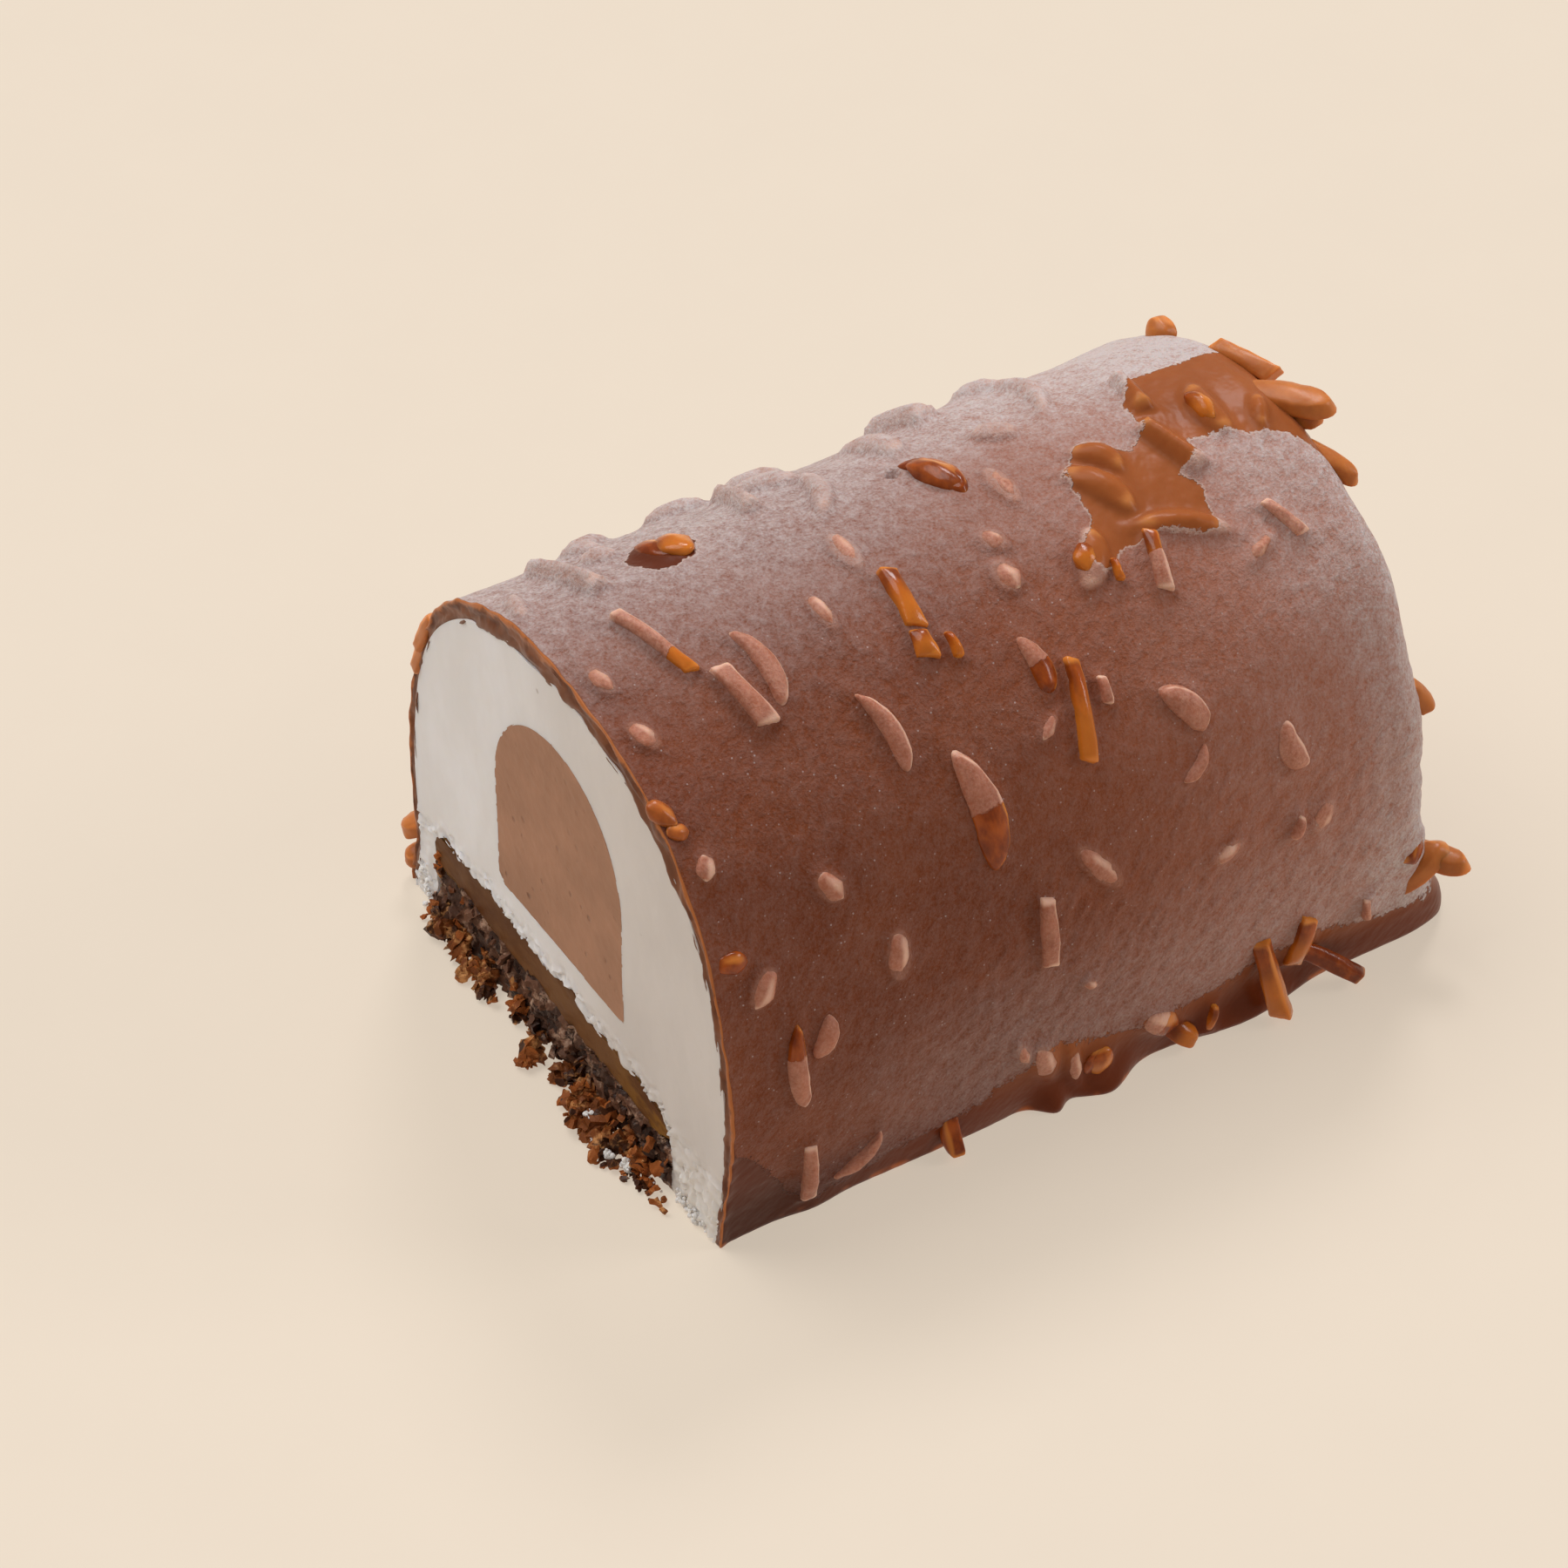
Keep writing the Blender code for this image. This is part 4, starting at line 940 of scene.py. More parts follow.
def rim_rows(outer, inner, columns):
    """The coating's cut edge: a rounded outer lip, then a rough band in to the ice cream."""
    ragged = RAGGED_EDGE * noise_at(columns / RAGGED_LENGTH, RAGGED_SLICE, 0.0)
    ragged = ragged + NIBBLED_EDGE * noise_at(columns / NIBBLED_LENGTH, NIBBLED_SLICE, 0.0)
    inwards = inner - outer
    thickness = np.linalg.norm(inwards, axis=-1)
    rows = []
    for share, back in RIM_STEPS:
        reach = share * (1 + ragged * share / thickness)
        row = outer + inwards * reach[:, None]
        depth = share * thickness / RIM_LAYER
        layers = noise_at(columns / RIM_LAYER_LENGTH, depth, RIM_LAYER_SLICE)
        rough = noise_at(row[:, 0] / RIM_GRAIN, row[:, 2] / RIM_GRAIN, RIM_GRAIN_SLICE)
        rough = RIM_LAYER_HEIGHT * layers + RIM_ROUGHNESS * rough
        row[:, 1] += back - rough * min(1.0, RIM_ROUGH_RISE * share)
        rows.append(row)
    return rows[::-1]


def coat_shell(pieces, columns):
    """The coating's points from the far end inside, over the cut edge, to the far end outside.

    Returns them row by row, with the values that each point carries for the material.
    """
    outside = coat_rows(spaced(LIP_RADIUS, STRAIGHT + OVER_EDGE, COAT_PITCH)[:-1], END_PITCH)
    inside = coat_rows(np.array(INSIDE_ROWS), INSIDE_END_PITCH)
    along, around = crossings(outside, columns)
    outer = coat_surface(along, around, coat_relief(pieces, along, around))
    outer[:, 2] = np.maximum(outer[:, 2], 0.0)
    cover, crisp_line = frost_cover(along, around, outer[:, 2])
    fields = {
        "frost_cover": cover,
        "frost_crisp": crisp_line,
        "frost_weight": frost_weight(along, around),
        "raised": np.clip(almond_relief(pieces, along, around), 0.0, 1.0),
        "tips": almond_tips(pieces, along, around),
    }
    shape = (len(outside), len(columns))
    outer = outer.reshape(*shape, 3)

    along, around = crossings(inside[::-1], columns)
    inner = inside_surface(along, around).reshape(len(inside), len(columns), 3)
    rim = np.array(rim_rows(outer[0] - (0.0, LIP_RADIUS, 0.0), inner[-1], columns))
    shell = np.concatenate([inner[:-1], rim, outer])
    values = {name: np.zeros(shell.shape[:2]) for name in (*fields, "cut_edge")}
    for name, value in fields.items():
        values[name][-len(outer) :] = value.reshape(shape)
    shares = [LIP_TONE + (1 - LIP_TONE) * share for share, _ in RIM_STEPS[::-1]]
    values["cut_edge"][len(inner) - 1 : -len(outer)] = np.array(shares)[:, None]
    return shell, values


def coat_relief(pieces, along, around):
    """What stands up from the coating or dips into it, besides its slow waves."""
    dip = np.exp(-((along / LIP_DIP_LENGTH) ** 2) - (around / LIP_DIP_BREADTH) ** 2)
    from_pinhole = np.hypot(along - PINHOLE[0], around - PINHOLE[1])
    pinhole = np.exp(-((from_pinhole / PINHOLE_RADIUS) ** 4))
    grain = noise_at(along / GRAIN_LENGTH, around / GRAIN_LENGTH, GRAIN_SLICE)
    beaded = LIP_BEAD_SWING * noise_at(around / LIP_BEAD_WAVE, along / LIP_BEAD_WAVE, BEAD_SLICE)
    beaded = np.clip(LIP_BEAD_LEVEL + beaded, 0.0, 1.0)
    bead = LIP_BEAD * beaded * np.exp(-((along / LIP_BEAD_LENGTH) ** 2))
    peel = noise_at((along - around) / PEEL_LENGTH, (along + around) / PEEL_BREADTH, PEEL_SLICE)
    low = PEEL_ELSEWHERE + rise(around, *PEEL_FROM) * rise(along, *PEEL_ALONG)
    peel = peel * PEEL_HEIGHT * low * (1 - rise(around, *PEEL_TO))
    raised = almond_relief(pieces, along, around) + GRAIN_HEIGHT * grain + bead + peel
    return raised - LIP_DIP * dip - PINHOLE_DEPTH * pinhole


def make_coat(pieces, material):
    """The chocolate coating as one closed shell."""
    shell, values = coat_shell(pieces, coat_columns())
    bm, at = grid_shell(shell)
    close_shell(bm, at, shell.shape, (0, len(shell) - 1))
    face_outwards(bm)
    coat = finished("chocolate_coating", bm, material)
    row, column = np.transpose(list(at))
    for name, value in values.items():
        set_values(coat.data, name, value[row, column])
    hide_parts("milk_chocolate_coating")


def close_shell(bm, at, shape, ends):
    """Closes the given end rows, each an arch, and the foot between the two sides."""
    row_count, column_count = shape[:2]
    for row in ends:
        for column in range((column_count - 1) // 2):
            across = column_count - 1 - column
            ring = [at[row, column], at[row, column + 1], at[row, across - 1], at[row, across]]
            bm.faces.new(ring if across - column > 2 else ring[:2] + ring[3:])
    left = [at[row, 0] for row in range(row_count)]
    right = [at[row, column_count - 1] for row in range(row_count)]
    bm.faces.new(left + right[::-1])


# ---------------------------------------------------------------- the almonds


def block_shape(length, width, height, oval):
    """A block with rounded edges and a domed top, its outline an oval or a rectangle.

    Its "crest" layer, which carries a painted highlight, is 1 along the upper edge and fades away from
    it.
    """
    bm = bmesh.new()
    crest_layer = bm.verts.layers.float.new("crest")
    bmesh.ops.create_cube(bm, size=2.0)
    bmesh.ops.subdivide_edges(bm, edges=bm.edges[:], cuts=BLOCK_CUTS, use_grid_fill=True)
    half = Vector((length, width, height)) / 2
    for vert in bm.verts:
        place = Vector([math.sin(value * math.pi / 2) * most for value, most in zip(vert.co, half)])
        from_side = min(half.x - abs(place.x), half.y - abs(place.y))
        crest = rise(math.hypot(from_side, half.z - place.z), 0.0, CREST_WIDTH)
        vert[crest_layer] = 1 - float(crest)
        flat = [most - BLOCK_ROUNDING for most in half]
        held = Vector([min(max(value, -most), most) for value, most in zip(place, flat)])
        place = held + (place - held).normalized() * BLOCK_ROUNDING
        u, v, w = (value / most for value, most in zip(place, half))
        if oval:
            narrowed = 1 - (1 - SLICE_TOP) * (w + 1) / 2
            place.x *= narrowed * math.sqrt(1 - v * v / 2)
            place.y *= narrowed * math.sqrt(1 - u * u / 2)
        place.z += TOP_DOME * (1 - u * u) * (1 - v * v) * max(w, 0.0)
        vert.co = place
    return bm


def stick_shape(length, width, proud):
    """A slivered almond: a stick that narrows a little to one end."""
    bm = block_shape(length, width, proud + EMBED, False)
    for vert in bm.verts:
        vert.co.y *= (1 + SLIVER_THIN_END) / 2 + (1 - SLIVER_THIN_END) * vert.co.x / length
        vert.co.x += STICK_SLANT * vert.co.y * (2 * abs(vert.co.x) / length) ** 4
    return bm


def oval_shape(length, width, bow, height):
    """A slice of almond: a thin oval with one end more pointed, bowed sideways."""
    bm = block_shape(length, width, height, True)
    for vert in bm.verts:
        share = 2 * vert.co.x / length
        vert.co.y *= 1 + POINTED * share
        vert.co.y += bow * (BOW_MIDDLE - share * share)
    return bm


def chip_shape(length, width, height, jitter):
    """A broken bit: a small faceted lump, its facets softened."""
    bm = bmesh.new()
    crest_layer = bm.verts.layers.float.new("crest")
    bmesh.ops.create_icosphere(bm, subdivisions=1, radius=0.5)
    for vert, reach in zip(bm.verts, jitter):
        vert.co *= reach * CHIP_REGAIN
    bmesh.ops.subdivide_edges(bm, edges=bm.edges[:], cuts=CHIP_CUTS, use_grid_fill=True)
    for _ in range(CHIP_SMOOTHING):
        bmesh.ops.smooth_vert(
            bm, verts=bm.verts, factor=0.5, use_axis_x=True, use_axis_y=True, use_axis_z=True
        )
    # The crest, a painted highlight, covers the upper part of the chip.
    for vert in bm.verts:
        vert[crest_layer] = float(rise(vert.co.z, *CHIP_CREST))
    bmesh.ops.scale(bm, vec=(length, width, height), verts=bm.verts)
    return bm


def roughen(bm, seed):
    """Makes a piece uneven, each in its own way."""
    for vert in bm.verts:
        place = vert.co + Vector((seed * SEED_STRIDE, 0.0, 0.0))
        uneven = UNEVEN * noise.noise_vector(place / UNEVEN_LENGTH)
        vert.co += uneven + NICKS * noise.noise_vector(place / NICK_LENGTH)


def piece_shape(piece, seed):
    """An almond piece about its own middle, a little tilted, standing proud of z = 0."""
    proud = PROUD[piece.kind] * (CHIP_LIFT if piece.kind == "chip" else 1.0)
    height = proud + EMBED
    if piece.kind == "sliver":
        bm = stick_shape(piece.length, piece.width, proud)
    elif piece.kind == "slice":
        bm = oval_shape(piece.length, piece.width, piece.bow, height)
    else:
        bm = chip_shape(piece.length, piece.width, height, piece.jitter)
    roughen(bm, seed)
    draw = random.Random(seed)
    tilt = Matrix.Rotation(math.radians(draw.uniform(-MOST_TILT, MOST_TILT)), 4, "X")
    pitch = Matrix.Rotation(math.radians(draw.uniform(-MOST_PITCH, MOST_PITCH)), 4, "Y")
    bm.transform(Matrix.Translation((0.0, 0.0, (proud - EMBED) / 2)) @ pitch @ tilt)
    return bm


def mark_look(bm, piece, amber):
    """Marks how bare of frost a piece is along its length, how amber, and how thick the frost, and sets
    the painted highlight on its crest and the painted light in its gold.
    """
    crest_layer = bm.verts.layers.float["crest"]
    showing = 1 - SUNK_DIMMING * smothered(piece) if piece.bare is FROSTED else 1.0
    bare_layer = bm.verts.layers.float.new("bare")
    amber_layer = bm.verts.layers.float.new("amber")
    weight_layer = bm.verts.layers.float.new("frost_weight")
    weight = ALMOND_FROST + float(frost_weight(piece.along, piece.around))
    for vert in bm.verts:
        from_middle = vert.co.x / piece.length
        # Painted highlight: the crest is dimmer on the side that faces the cut and full at the tips.
        tip = float(rise(abs(2 * from_middle), *PALE_TIP))
        side = DIM_SIDE + (1 - DIM_SIDE) * float(rise(vert.co.y, *PALE_SIDE))
        vert[crest_layer] = max(side * vert[crest_layer], tip) * showing
        vert[weight_layer] = weight
        vert[amber_layer] = amber
        # Painted light: golden pieces are brighter at one end, as light shining through them.
        if amber > AMBER:
            golden = GOLD_LEAST + (1 - GOLD_LEAST) * float(rise(from_middle, *GOLD_FADE))
            vert[amber_layer] = amber * golden
        if piece.bare == BARE:
            vert[bare_layer] = 1.0
        elif piece.bare is not FROSTED:
            start, stop = piece.bare
            share = from_middle + 0.5
            inside = (share - start if stop == 1.0 else stop - share) * piece.length
            vert[bare_layer] = min(max(0.5 + inside / BARE_EDGE, 0.0), 1.0)


def lay_on_coat(bm, piece):
    """Lays a piece on the coating, turned about the surface's normal and bent round the arch."""
    along, around = np.array([piece.along]), np.array([piece.around])
    here, normal, on, down = (Vector(values[0]) for values in skin_frame(along, around))
    here = here + normal * float(wave(along, around)[0])
    heading = math.radians(piece.turn)
    for vert in bm.verts:
        off = vert.co.x * math.sin(heading) + vert.co.y * math.cos(heading)
        vert.co.z -= BEND_SHARE * off * off / (2 * ARCH_BEND_RADIUS)
    ahead = on * math.cos(heading) + down * math.sin(heading)
    turned = Matrix((ahead, normal.cross(ahead), normal)).transposed().to_4x4()
    bm.transform(Matrix.Translation(here) @ turned)


def outstanding_piece(start, end, width, roll, amber, seed):
    """A slice or stick that runs from the coating out past its edge, rolled about its length."""
    start, end = (Vector((x, along - LOG_LENGTH / 2, z)) for along, x, z in (start, end))
    length, ahead = (end - start).length, (end - start).normalized()
    if width < STICK_BELOW:
        bm = stick_shape(length, width, OUTSTANDING_THICKNESS - EMBED)
    else:
        bm = oval_shape(length, width, 0.0, OUTSTANDING_THICKNESS)
    roughen(bm, seed)
    mark_look(bm, Piece("slice", 0.0, 0.0, length, width, 0.0, 0.0, BARE), amber)
    bm.transform(Matrix.Rotation(math.radians(roll), 4, "X"))
    beside = Vector((0.0, 0.0, 1.0)).cross(ahead).normalized()
    turned = Matrix((ahead, beside, ahead.cross(beside))).transposed().to_4x4()
    bm.transform(Matrix.Translation((start + end) / 2) @ turned)
    return bm


def nugget(piece, height, seed):
    """A rounder, higher piece, laid like the others."""
    jitter = chip_jitter(random.Random(seed))
    bm = chip_shape(piece.length, piece.width, height + EMBED, jitter)
    roughen(bm, seed)
    bmesh.ops.translate(bm, vec=(0.0, 0.0, (height - EMBED) / 2), verts=bm.verts)
    return bm


def add_to(collected, bm):
    """Moves a small bmesh's geometry into a larger one."""
    mesh = bpy.data.meshes.new("passing")
    bm.to_mesh(mesh)
    bm.free()
    collected.from_mesh(mesh)
    bpy.data.meshes.remove(mesh)


def make_almonds(pieces, material):
    """The almonds in three pieces: listed, scattered on the far side, and standing out."""
    placed = len(SLIVERS) + len(SLICES) + len(CHIPS)
    groups = {"almonds_near": pieces[:placed], "almonds_far": pieces[placed:]}
    for name, members in groups.items():
        collected = bmesh.new()
        for seed, piece in enumerate(members):
            if smothered(piece) > SUNK:
                continue
            bm = piece_shape(piece, seed)
            mark_look(bm, piece, STICK_AMBER if piece.kind == "sliver" else AMBER)
            lay_on_coat(bm, piece)
            add_to(collected, bm)
        almond_object(name, collected, material)
    collected = bmesh.new()
    for seed, (start, end, width, roll, amber) in enumerate(OUTSTANDING):
        add_to(collected, outstanding_piece(start, end, width, roll, amber, seed))
    for seed, (along, around, length, width, turn, height, amber) in enumerate(NUGGETS):
        piece = Piece("slice", along, around, length, width, turn, 0.0, BARE)
        bm = nugget(piece, height, seed)
        mark_look(bm, piece, amber)
        lay_on_coat(bm, piece)
        add_to(collected, bm)
    almond_object("almonds_outstanding", collected, material)


def almond_object(name, collected, material):
    """A group of almonds as one object. Where one would reach below the floor it is cut level."""
    for vert in collected.verts:
        vert.co.z = max(vert.co.z, 0.0)
    face_outwards(collected)
    crisp(name, collected, material)


# ---------------------------------------------------------------- the layers at the cut


def core_outline(grow):
    """The core's cross-section: a flat base, straight sides and a round top."""
    half, top, floor = CORE_WIDTH / 2 + grow, CORE_TOP + grow, CORE_FLOOR - grow
    points = []
    for k in range(CORE_TOP_STEPS + 1):
        turn = math.pi * k / CORE_TOP_STEPS
        rising = (top - CORE_SHOULDER) * math.sin(turn)
        points.append((CORE_CENTRE + half * math.cos(turn), CORE_SHOULDER + rising))
    left = CORE_CENTRE - half
    points += [(left, floor + CORE_CORNER), (left + CORE_CORNER, floor), (CORE_CENTRE + half, floor)]
    return points


def between(x, left_value, right_value):
    """A value that changes evenly from the base's left edge to its right edge."""
    share = (x - BASE_LEFT) / (BASE_RIGHT - BASE_LEFT)
    return left_value + (right_value - left_value) * share


def biscuit_top(x):
    place = Vector((x / BISCUIT_RAGGED_LENGTH, BISCUIT_TOP_SLICE, 0.0))
    return between(x, BISCUIT_TOP_LEFT, BISCUIT_TOP_RIGHT) + BISCUIT_RAGGED * noise.noise(place)


def caramel_top(x):
    """The caramel's uneven top, lower towards either edge, with the ice cream's torn line."""
    place = Vector((x / CARAMEL_RIPPLE_LENGTH, CARAMEL_RIPPLE_SEED, 0.0))
    ripple = CARAMEL_RIPPLE * noise.noise(place)
    torn = TORN_HEIGHT * noise.noise(Vector((x / TORN_LENGTH, TORN_SLICE, 0.0)))
    inwards = min(x - BASE_LEFT, BASE_RIGHT - x) / CARAMEL_TAPER
    taper = CARAMEL_THINNING * max(1 - inwards, 0.0) ** 2
    return between(x, CARAMEL_TOP_LEFT, CARAMEL_TOP_RIGHT) + ripple + torn - taper


def band_outline(low, high, grow):
    """The outline between two heights that depend on x, across the width of the base."""
    below, above = [], []
    for k, x in enumerate(np.linspace(BASE_LEFT, BASE_RIGHT, BAND_STEPS + 1).tolist()):
        aside = -grow if k == 0 else grow if k == BAND_STEPS else 0.0
        below.append((x + aside, low(x) - grow))
        above.append((x + aside, high(x) + grow))
    return below + above[::-1]


def prism(outline, front, back):
    """An outline of (x, z) points extruded along the log, from front to back."""
    bm = bmesh.new()
    verts = [bm.verts.new((x, front - LOG_LENGTH / 2, z)) for x, z in outline]
    face = bmesh.ops.contextual_create(bm, geom=verts)["faces"]
    grown = bmesh.ops.extrude_face_region(bm, geom=face)
    bmesh.ops.translate(bm, verts=moved_verts(grown), vec=(0.0, back - front, 0.0))
    return helper(bm)


def helper(bm):
    """A closed solid in millimetres, for cutting."""
    bmesh.ops.triangulate(bm, faces=bm.faces)
    face_outwards(bm)
    mesh = bpy.data.meshes.new("helper")
    bm.to_mesh(mesh)
    bm.free()
    obj = bpy.data.objects.new("helper", mesh)
    bpy.context.scene.collection.objects.link(obj)
    return obj


def inside_body():
    """All that the coating encloses, a little into its thickness, so that no gap shows."""
    columns = spaced(-GIRTH, GIRTH, INSIDE_PITCH)
    rows = coat_rows(np.array((-BEYOND, *INSIDE_ROWS)), INSIDE_END_PITCH)
    along, around = crossings(rows, columns)
    shell = inside_surface(along, around, OVERLAP).reshape(len(rows), len(columns), 3)
    bm, at = grid_shell(shell)
    bm.faces.new([at[0, column] for column in range(len(columns))])
    close_shell(bm, at, shell.shape, (len(rows) - 1,))
    return helper(bm)


def relief_block(low, high, pitch, relief):
    """A block whose front is a fine grid, pushed forward by the relief at each (x, z)."""
    bm = bmesh.new()
    wide, tall = high[0] - low[0], high[1] - low[1]
    across, up = round(wide / pitch), round(tall / pitch)
    bmesh.ops.create_grid(bm, x_segments=across, y_segments=up, size=1.0)
    rim = [edge for edge in bm.edges if edge.is_boundary]
    grown = bmesh.ops.extrude_edge_only(bm, edges=rim)
    back = set(moved_verts(grown))
    hem = [item for item in grown["geom"] if isinstance(item, bmesh.types.BMEdge)]
    bmesh.ops.contextual_create(bm, geom=hem)
    for vert in bm.verts:
        x = low[0] + (vert.co.x + 1) / 2 * wide
        z = low[1] + (vert.co.y + 1) / 2 * tall
        y = LOG_LENGTH if vert in back else -LOG_LENGTH / 2 - relief(x, z)
        vert.co = (x, y, z)
    return helper(bm)


def boolean(obj, operation, other):
    modifier = obj.modifiers.new(operation.lower(), "BOOLEAN")
    modifier.operation = operation
    modifier.solver = "MANIFOLD"
    modifier.object = other
    graph = bpy.context.evaluated_depsgraph_get()
    mesh = bpy.data.meshes.new_from_object(obj.evaluated_get(graph))
    obj.modifiers.clear()
    obj.data = mesh
    bpy.data.objects.remove(other)


def layer(name, body, material):
    """Turns a cut body into a finished piece in place of its node."""
    bm = bmesh.new()
    bm.from_mesh(body.data)
    bpy.data.objects.remove(body)
    return crisp(name, bm, material)


def broken(x, z, noise_slice, dimension=1.0, octaves=3):
    """Noise that has finer and finer noise in it."""
    return noise.fractal(Vector((x, z, noise_slice)), dimension, 2.0, octaves)


def vanilla_relief(x, z):
    """The knife's cut: nearly flat, scraped above the caramel and crumbly at both feet."""
    wide, tall = CUT_WAVE_LENGTHS
    plain = CUT_WAVE * noise.noise(Vector((x / wide, z / tall, CUT_WAVE_SLICE)))
    plain += CUT_GRAIN * noise.noise(Vector((x, z, CUT_GRAIN_SLICE)))
    foot = max(float(rise(x, *SNOW_RIGHT)), float(rise(-x, *SNOW_LEFT)))
    foot *= float(1 - rise(z, *SNOW_HEIGHTS))
    above = z - caramel_top(min(max(x, BASE_LEFT), BASE_RIGHT))
    torn = float(1 - rise(abs(above - TORN_MIDDLE), *TORN_BAND))
    snow = broken(x / SNOW_LENGTH, z / SNOW_LENGTH, SNOW_SLICE, 0.9, 4)
    wide, tall = SCRAPED_LENGTHS
    scraped = broken((x + above) / wide, above / tall, SCRAPED_SLICE, 0.9)
    return plain + SNOW_RELIEF * foot * snow + TORN_RELIEF * torn * scraped


def core_relief(x, z):
    return CORE_GRAIN * broken(x / CORE_GRAIN_LENGTH, z / CORE_GRAIN_LENGTH, CORE_SLICE)


def caramel_relief(x, z):
    wide, tall = CARAMEL_WAVE_LENGTHS
    return CARAMEL_WAVE * broken(x / wide, z / tall, CARAMEL_SLICE)


def biscuit_relief(x, z):
    """Broken biscuit: rounded crumbs with deep gaps between them."""
    distances, _ = noise.voronoi(Vector((x / CRUMB_SIZE, z / CRUMB_SIZE, CRUMB_SLICE)))
    crumbs = CRUMB_RELIEF * (CRUMB_LEVEL - distances[0])
    return crumbs + CRUMB_GRAIN * broken(x, z, CRUMB_GRAIN_SLICE, 0.8, 4)


def worked(body, left, right, heights, pitch, relief):
    """Gives a body its cut face: a relief between two sides and two heights."""
    low, high = (left, heights[0]), (right, heights[1])
    boolean(body, "INTERSECT", relief_block(low, high, pitch, relief))
    return body


def make_vanilla(material):
    """The vanilla, hollowed for the core and for the base."""
    side = LOG_WIDTH / 2 + VANILLA_ROOM
    vanilla = worked(inside_body(), -side, side, (0.0, LOG_HEIGHT), VANILLA_PITCH, vanilla_relief)
    boolean(vanilla, "DIFFERENCE", prism(core_outline(-TUCKED), -2 * BEYOND, CORE_END))
    outline = band_outline(lambda x: -2 * BEYOND, caramel_top, -TUCKED)
    boolean(vanilla, "DIFFERENCE", prism(outline, -2 * BEYOND, BASE_END))
    vanilla = layer("vanilla", vanilla, material)
    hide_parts("vanilla_ice_cream")


def make_layers(materials):
    """The vanilla, the core, the caramel and the biscuit, each with its cut face worked."""
    make_vanilla(materials["vanilla"])

    core = prism(core_outline(0.0), -BEYOND, CORE_END)
    left, right = CORE_CENTRE - CORE_WIDTH, CORE_CENTRE + CORE_WIDTH
    core = worked(core, left, right, (CORE_FLOOR - ROOM, CORE_TOP + ROOM), CORE_PITCH, core_relief)
    core = layer("core", core, materials["core"])
    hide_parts("chocolate_ice_cream_core")

    left, right = BASE_LEFT - ROOM, BASE_RIGHT + ROOM
    caramel = prism(band_outline(biscuit_top, caramel_top, 0.0), -BEYOND, BASE_END)
    caramel = worked(caramel, left, right, CARAMEL_HEIGHTS, CARAMEL_PITCH, caramel_relief)
    caramel = layer("caramel", caramel, materials["caramel"])
    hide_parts("caramel_layer")

    outline = band_outline(lambda x: 0.0, lambda x: biscuit_top(x) + TUCKED, 0.0)
    biscuit = prism(outline, -BEYOND, BASE_END)
    biscuit = worked(biscuit, left, right, BISCUIT_HEIGHTS, BISCUIT_PITCH, biscuit_relief)
    biscuit = layer("biscuit", biscuit, materials["biscuit"])
    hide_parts("biscuit_base")


# ---------------------------------------------------------------- crumbs and scraps


def flake_shape(draw, size, tilt):
    """A thin jagged flake, tilted and turned at random about its middle."""
    thickness = size * draw.uniform(*FLAKE_THICKNESS)
    bm = bmesh.new()
    corners = draw.randint(*FLAKE_CORNERS)
    bmesh.ops.create_circle(bm, cap_ends=True, segments=corners, radius=size / 2)
    for vert in bm.verts:
        vert.co *= draw.uniform(*FLAKE_JITTER)
    grown = bmesh.ops.extrude_face_region(bm, geom=bm.faces[:])
    for vert in moved_verts(grown):
        vert.co = vert.co * draw.uniform(*FLAKE_TAPER) + Vector((0.0, 0.0, thickness))
    breadth = Matrix.Diagonal((1.0, draw.uniform(*FLAKE_BREADTHS), 1.0, 1.0))
    tipped = Matrix.Rotation(draw.uniform(-tilt, tilt), 4, "X")
    tipped = tipped @ Matrix.Rotation(draw.uniform(-tilt, tilt), 4, "Y")
    bm.transform(Matrix.Rotation(draw.uniform(0, math.tau), 4, "Z") @ tipped @ breadth)
    bmesh.ops.triangulate(bm, faces=bm.faces)
    bmesh.ops.subdivide_edges(bm, edges=bm.edges[:], cuts=1)
    shift = Vector((draw.uniform(0, CRUMPLE_SLICES), 0.0, 0.0))
    for vert in bm.verts:
        crumple = noise.noise_vector(vert.co / FLAKE_CRUMPLE_LENGTH + shift)
        vert.co += FLAKE_CRUMPLE * size * crumple
    return bm


def lay_down(bm, x, forward, height):
    """Moves a flake to its place, raised where it would reach below the floor."""
    lowest = min(vert.co.z for vert in bm.verts)
    place = (x, -LOG_LENGTH / 2 - forward, max(height, -lowest))
    bmesh.ops.translate(bm, vec=place, verts=bm.verts)


def loose_flakes(collected, draw, clusters):
    """Scatters flakes on the floor round each cluster's middle."""
    for x, forward, count, largest in clusters:
        for _ in range(count):
            size = LEAST_FLAKE + (largest - LEAST_FLAKE) * draw.random() ** FLAKE_SKEW
            bm = flake_shape(draw, size, FLAKE_TILT)
            ahead = max(forward + draw.gauss(0.0, CLUSTER_SPREAD[1]), size / 2 - LOOSE_INSET)
            lay_down(bm, x + draw.gauss(0.0, CLUSTER_SPREAD[0]), ahead, 0.0)
            add_to(collected, bm)


def away_from(draw, spread):
    """A random step with the given spread in each direction."""
    return Vector([draw.gauss(0.0, spread) for _ in range(3)])


def clinging_flakes(collected, draw, places):
    """Packs of flakes in place of each larger crumb."""
    for x, forward, z, radius in places:
        core = bmesh.new()
        bmesh.ops.create_icosphere(core, subdivisions=1, radius=CLUMP_CORE * radius)
        for vert in core.verts:
            vert.co *= draw.uniform(*CLUMP_JITTER)
        lay_down(core, x, forward, z)
        add_to(collected, core)
        for _ in range(CLUMP_FLAKES):
            bm = flake_shape(draw, radius * draw.uniform(*CLUMP_SIZES), math.pi / 2)
            away = away_from(draw, 1.0).normalized() * radius * CLUMP_REACH
            lay_down(bm, x + away.x, forward - away.y, z + away.z)
            add_to(collected, bm)


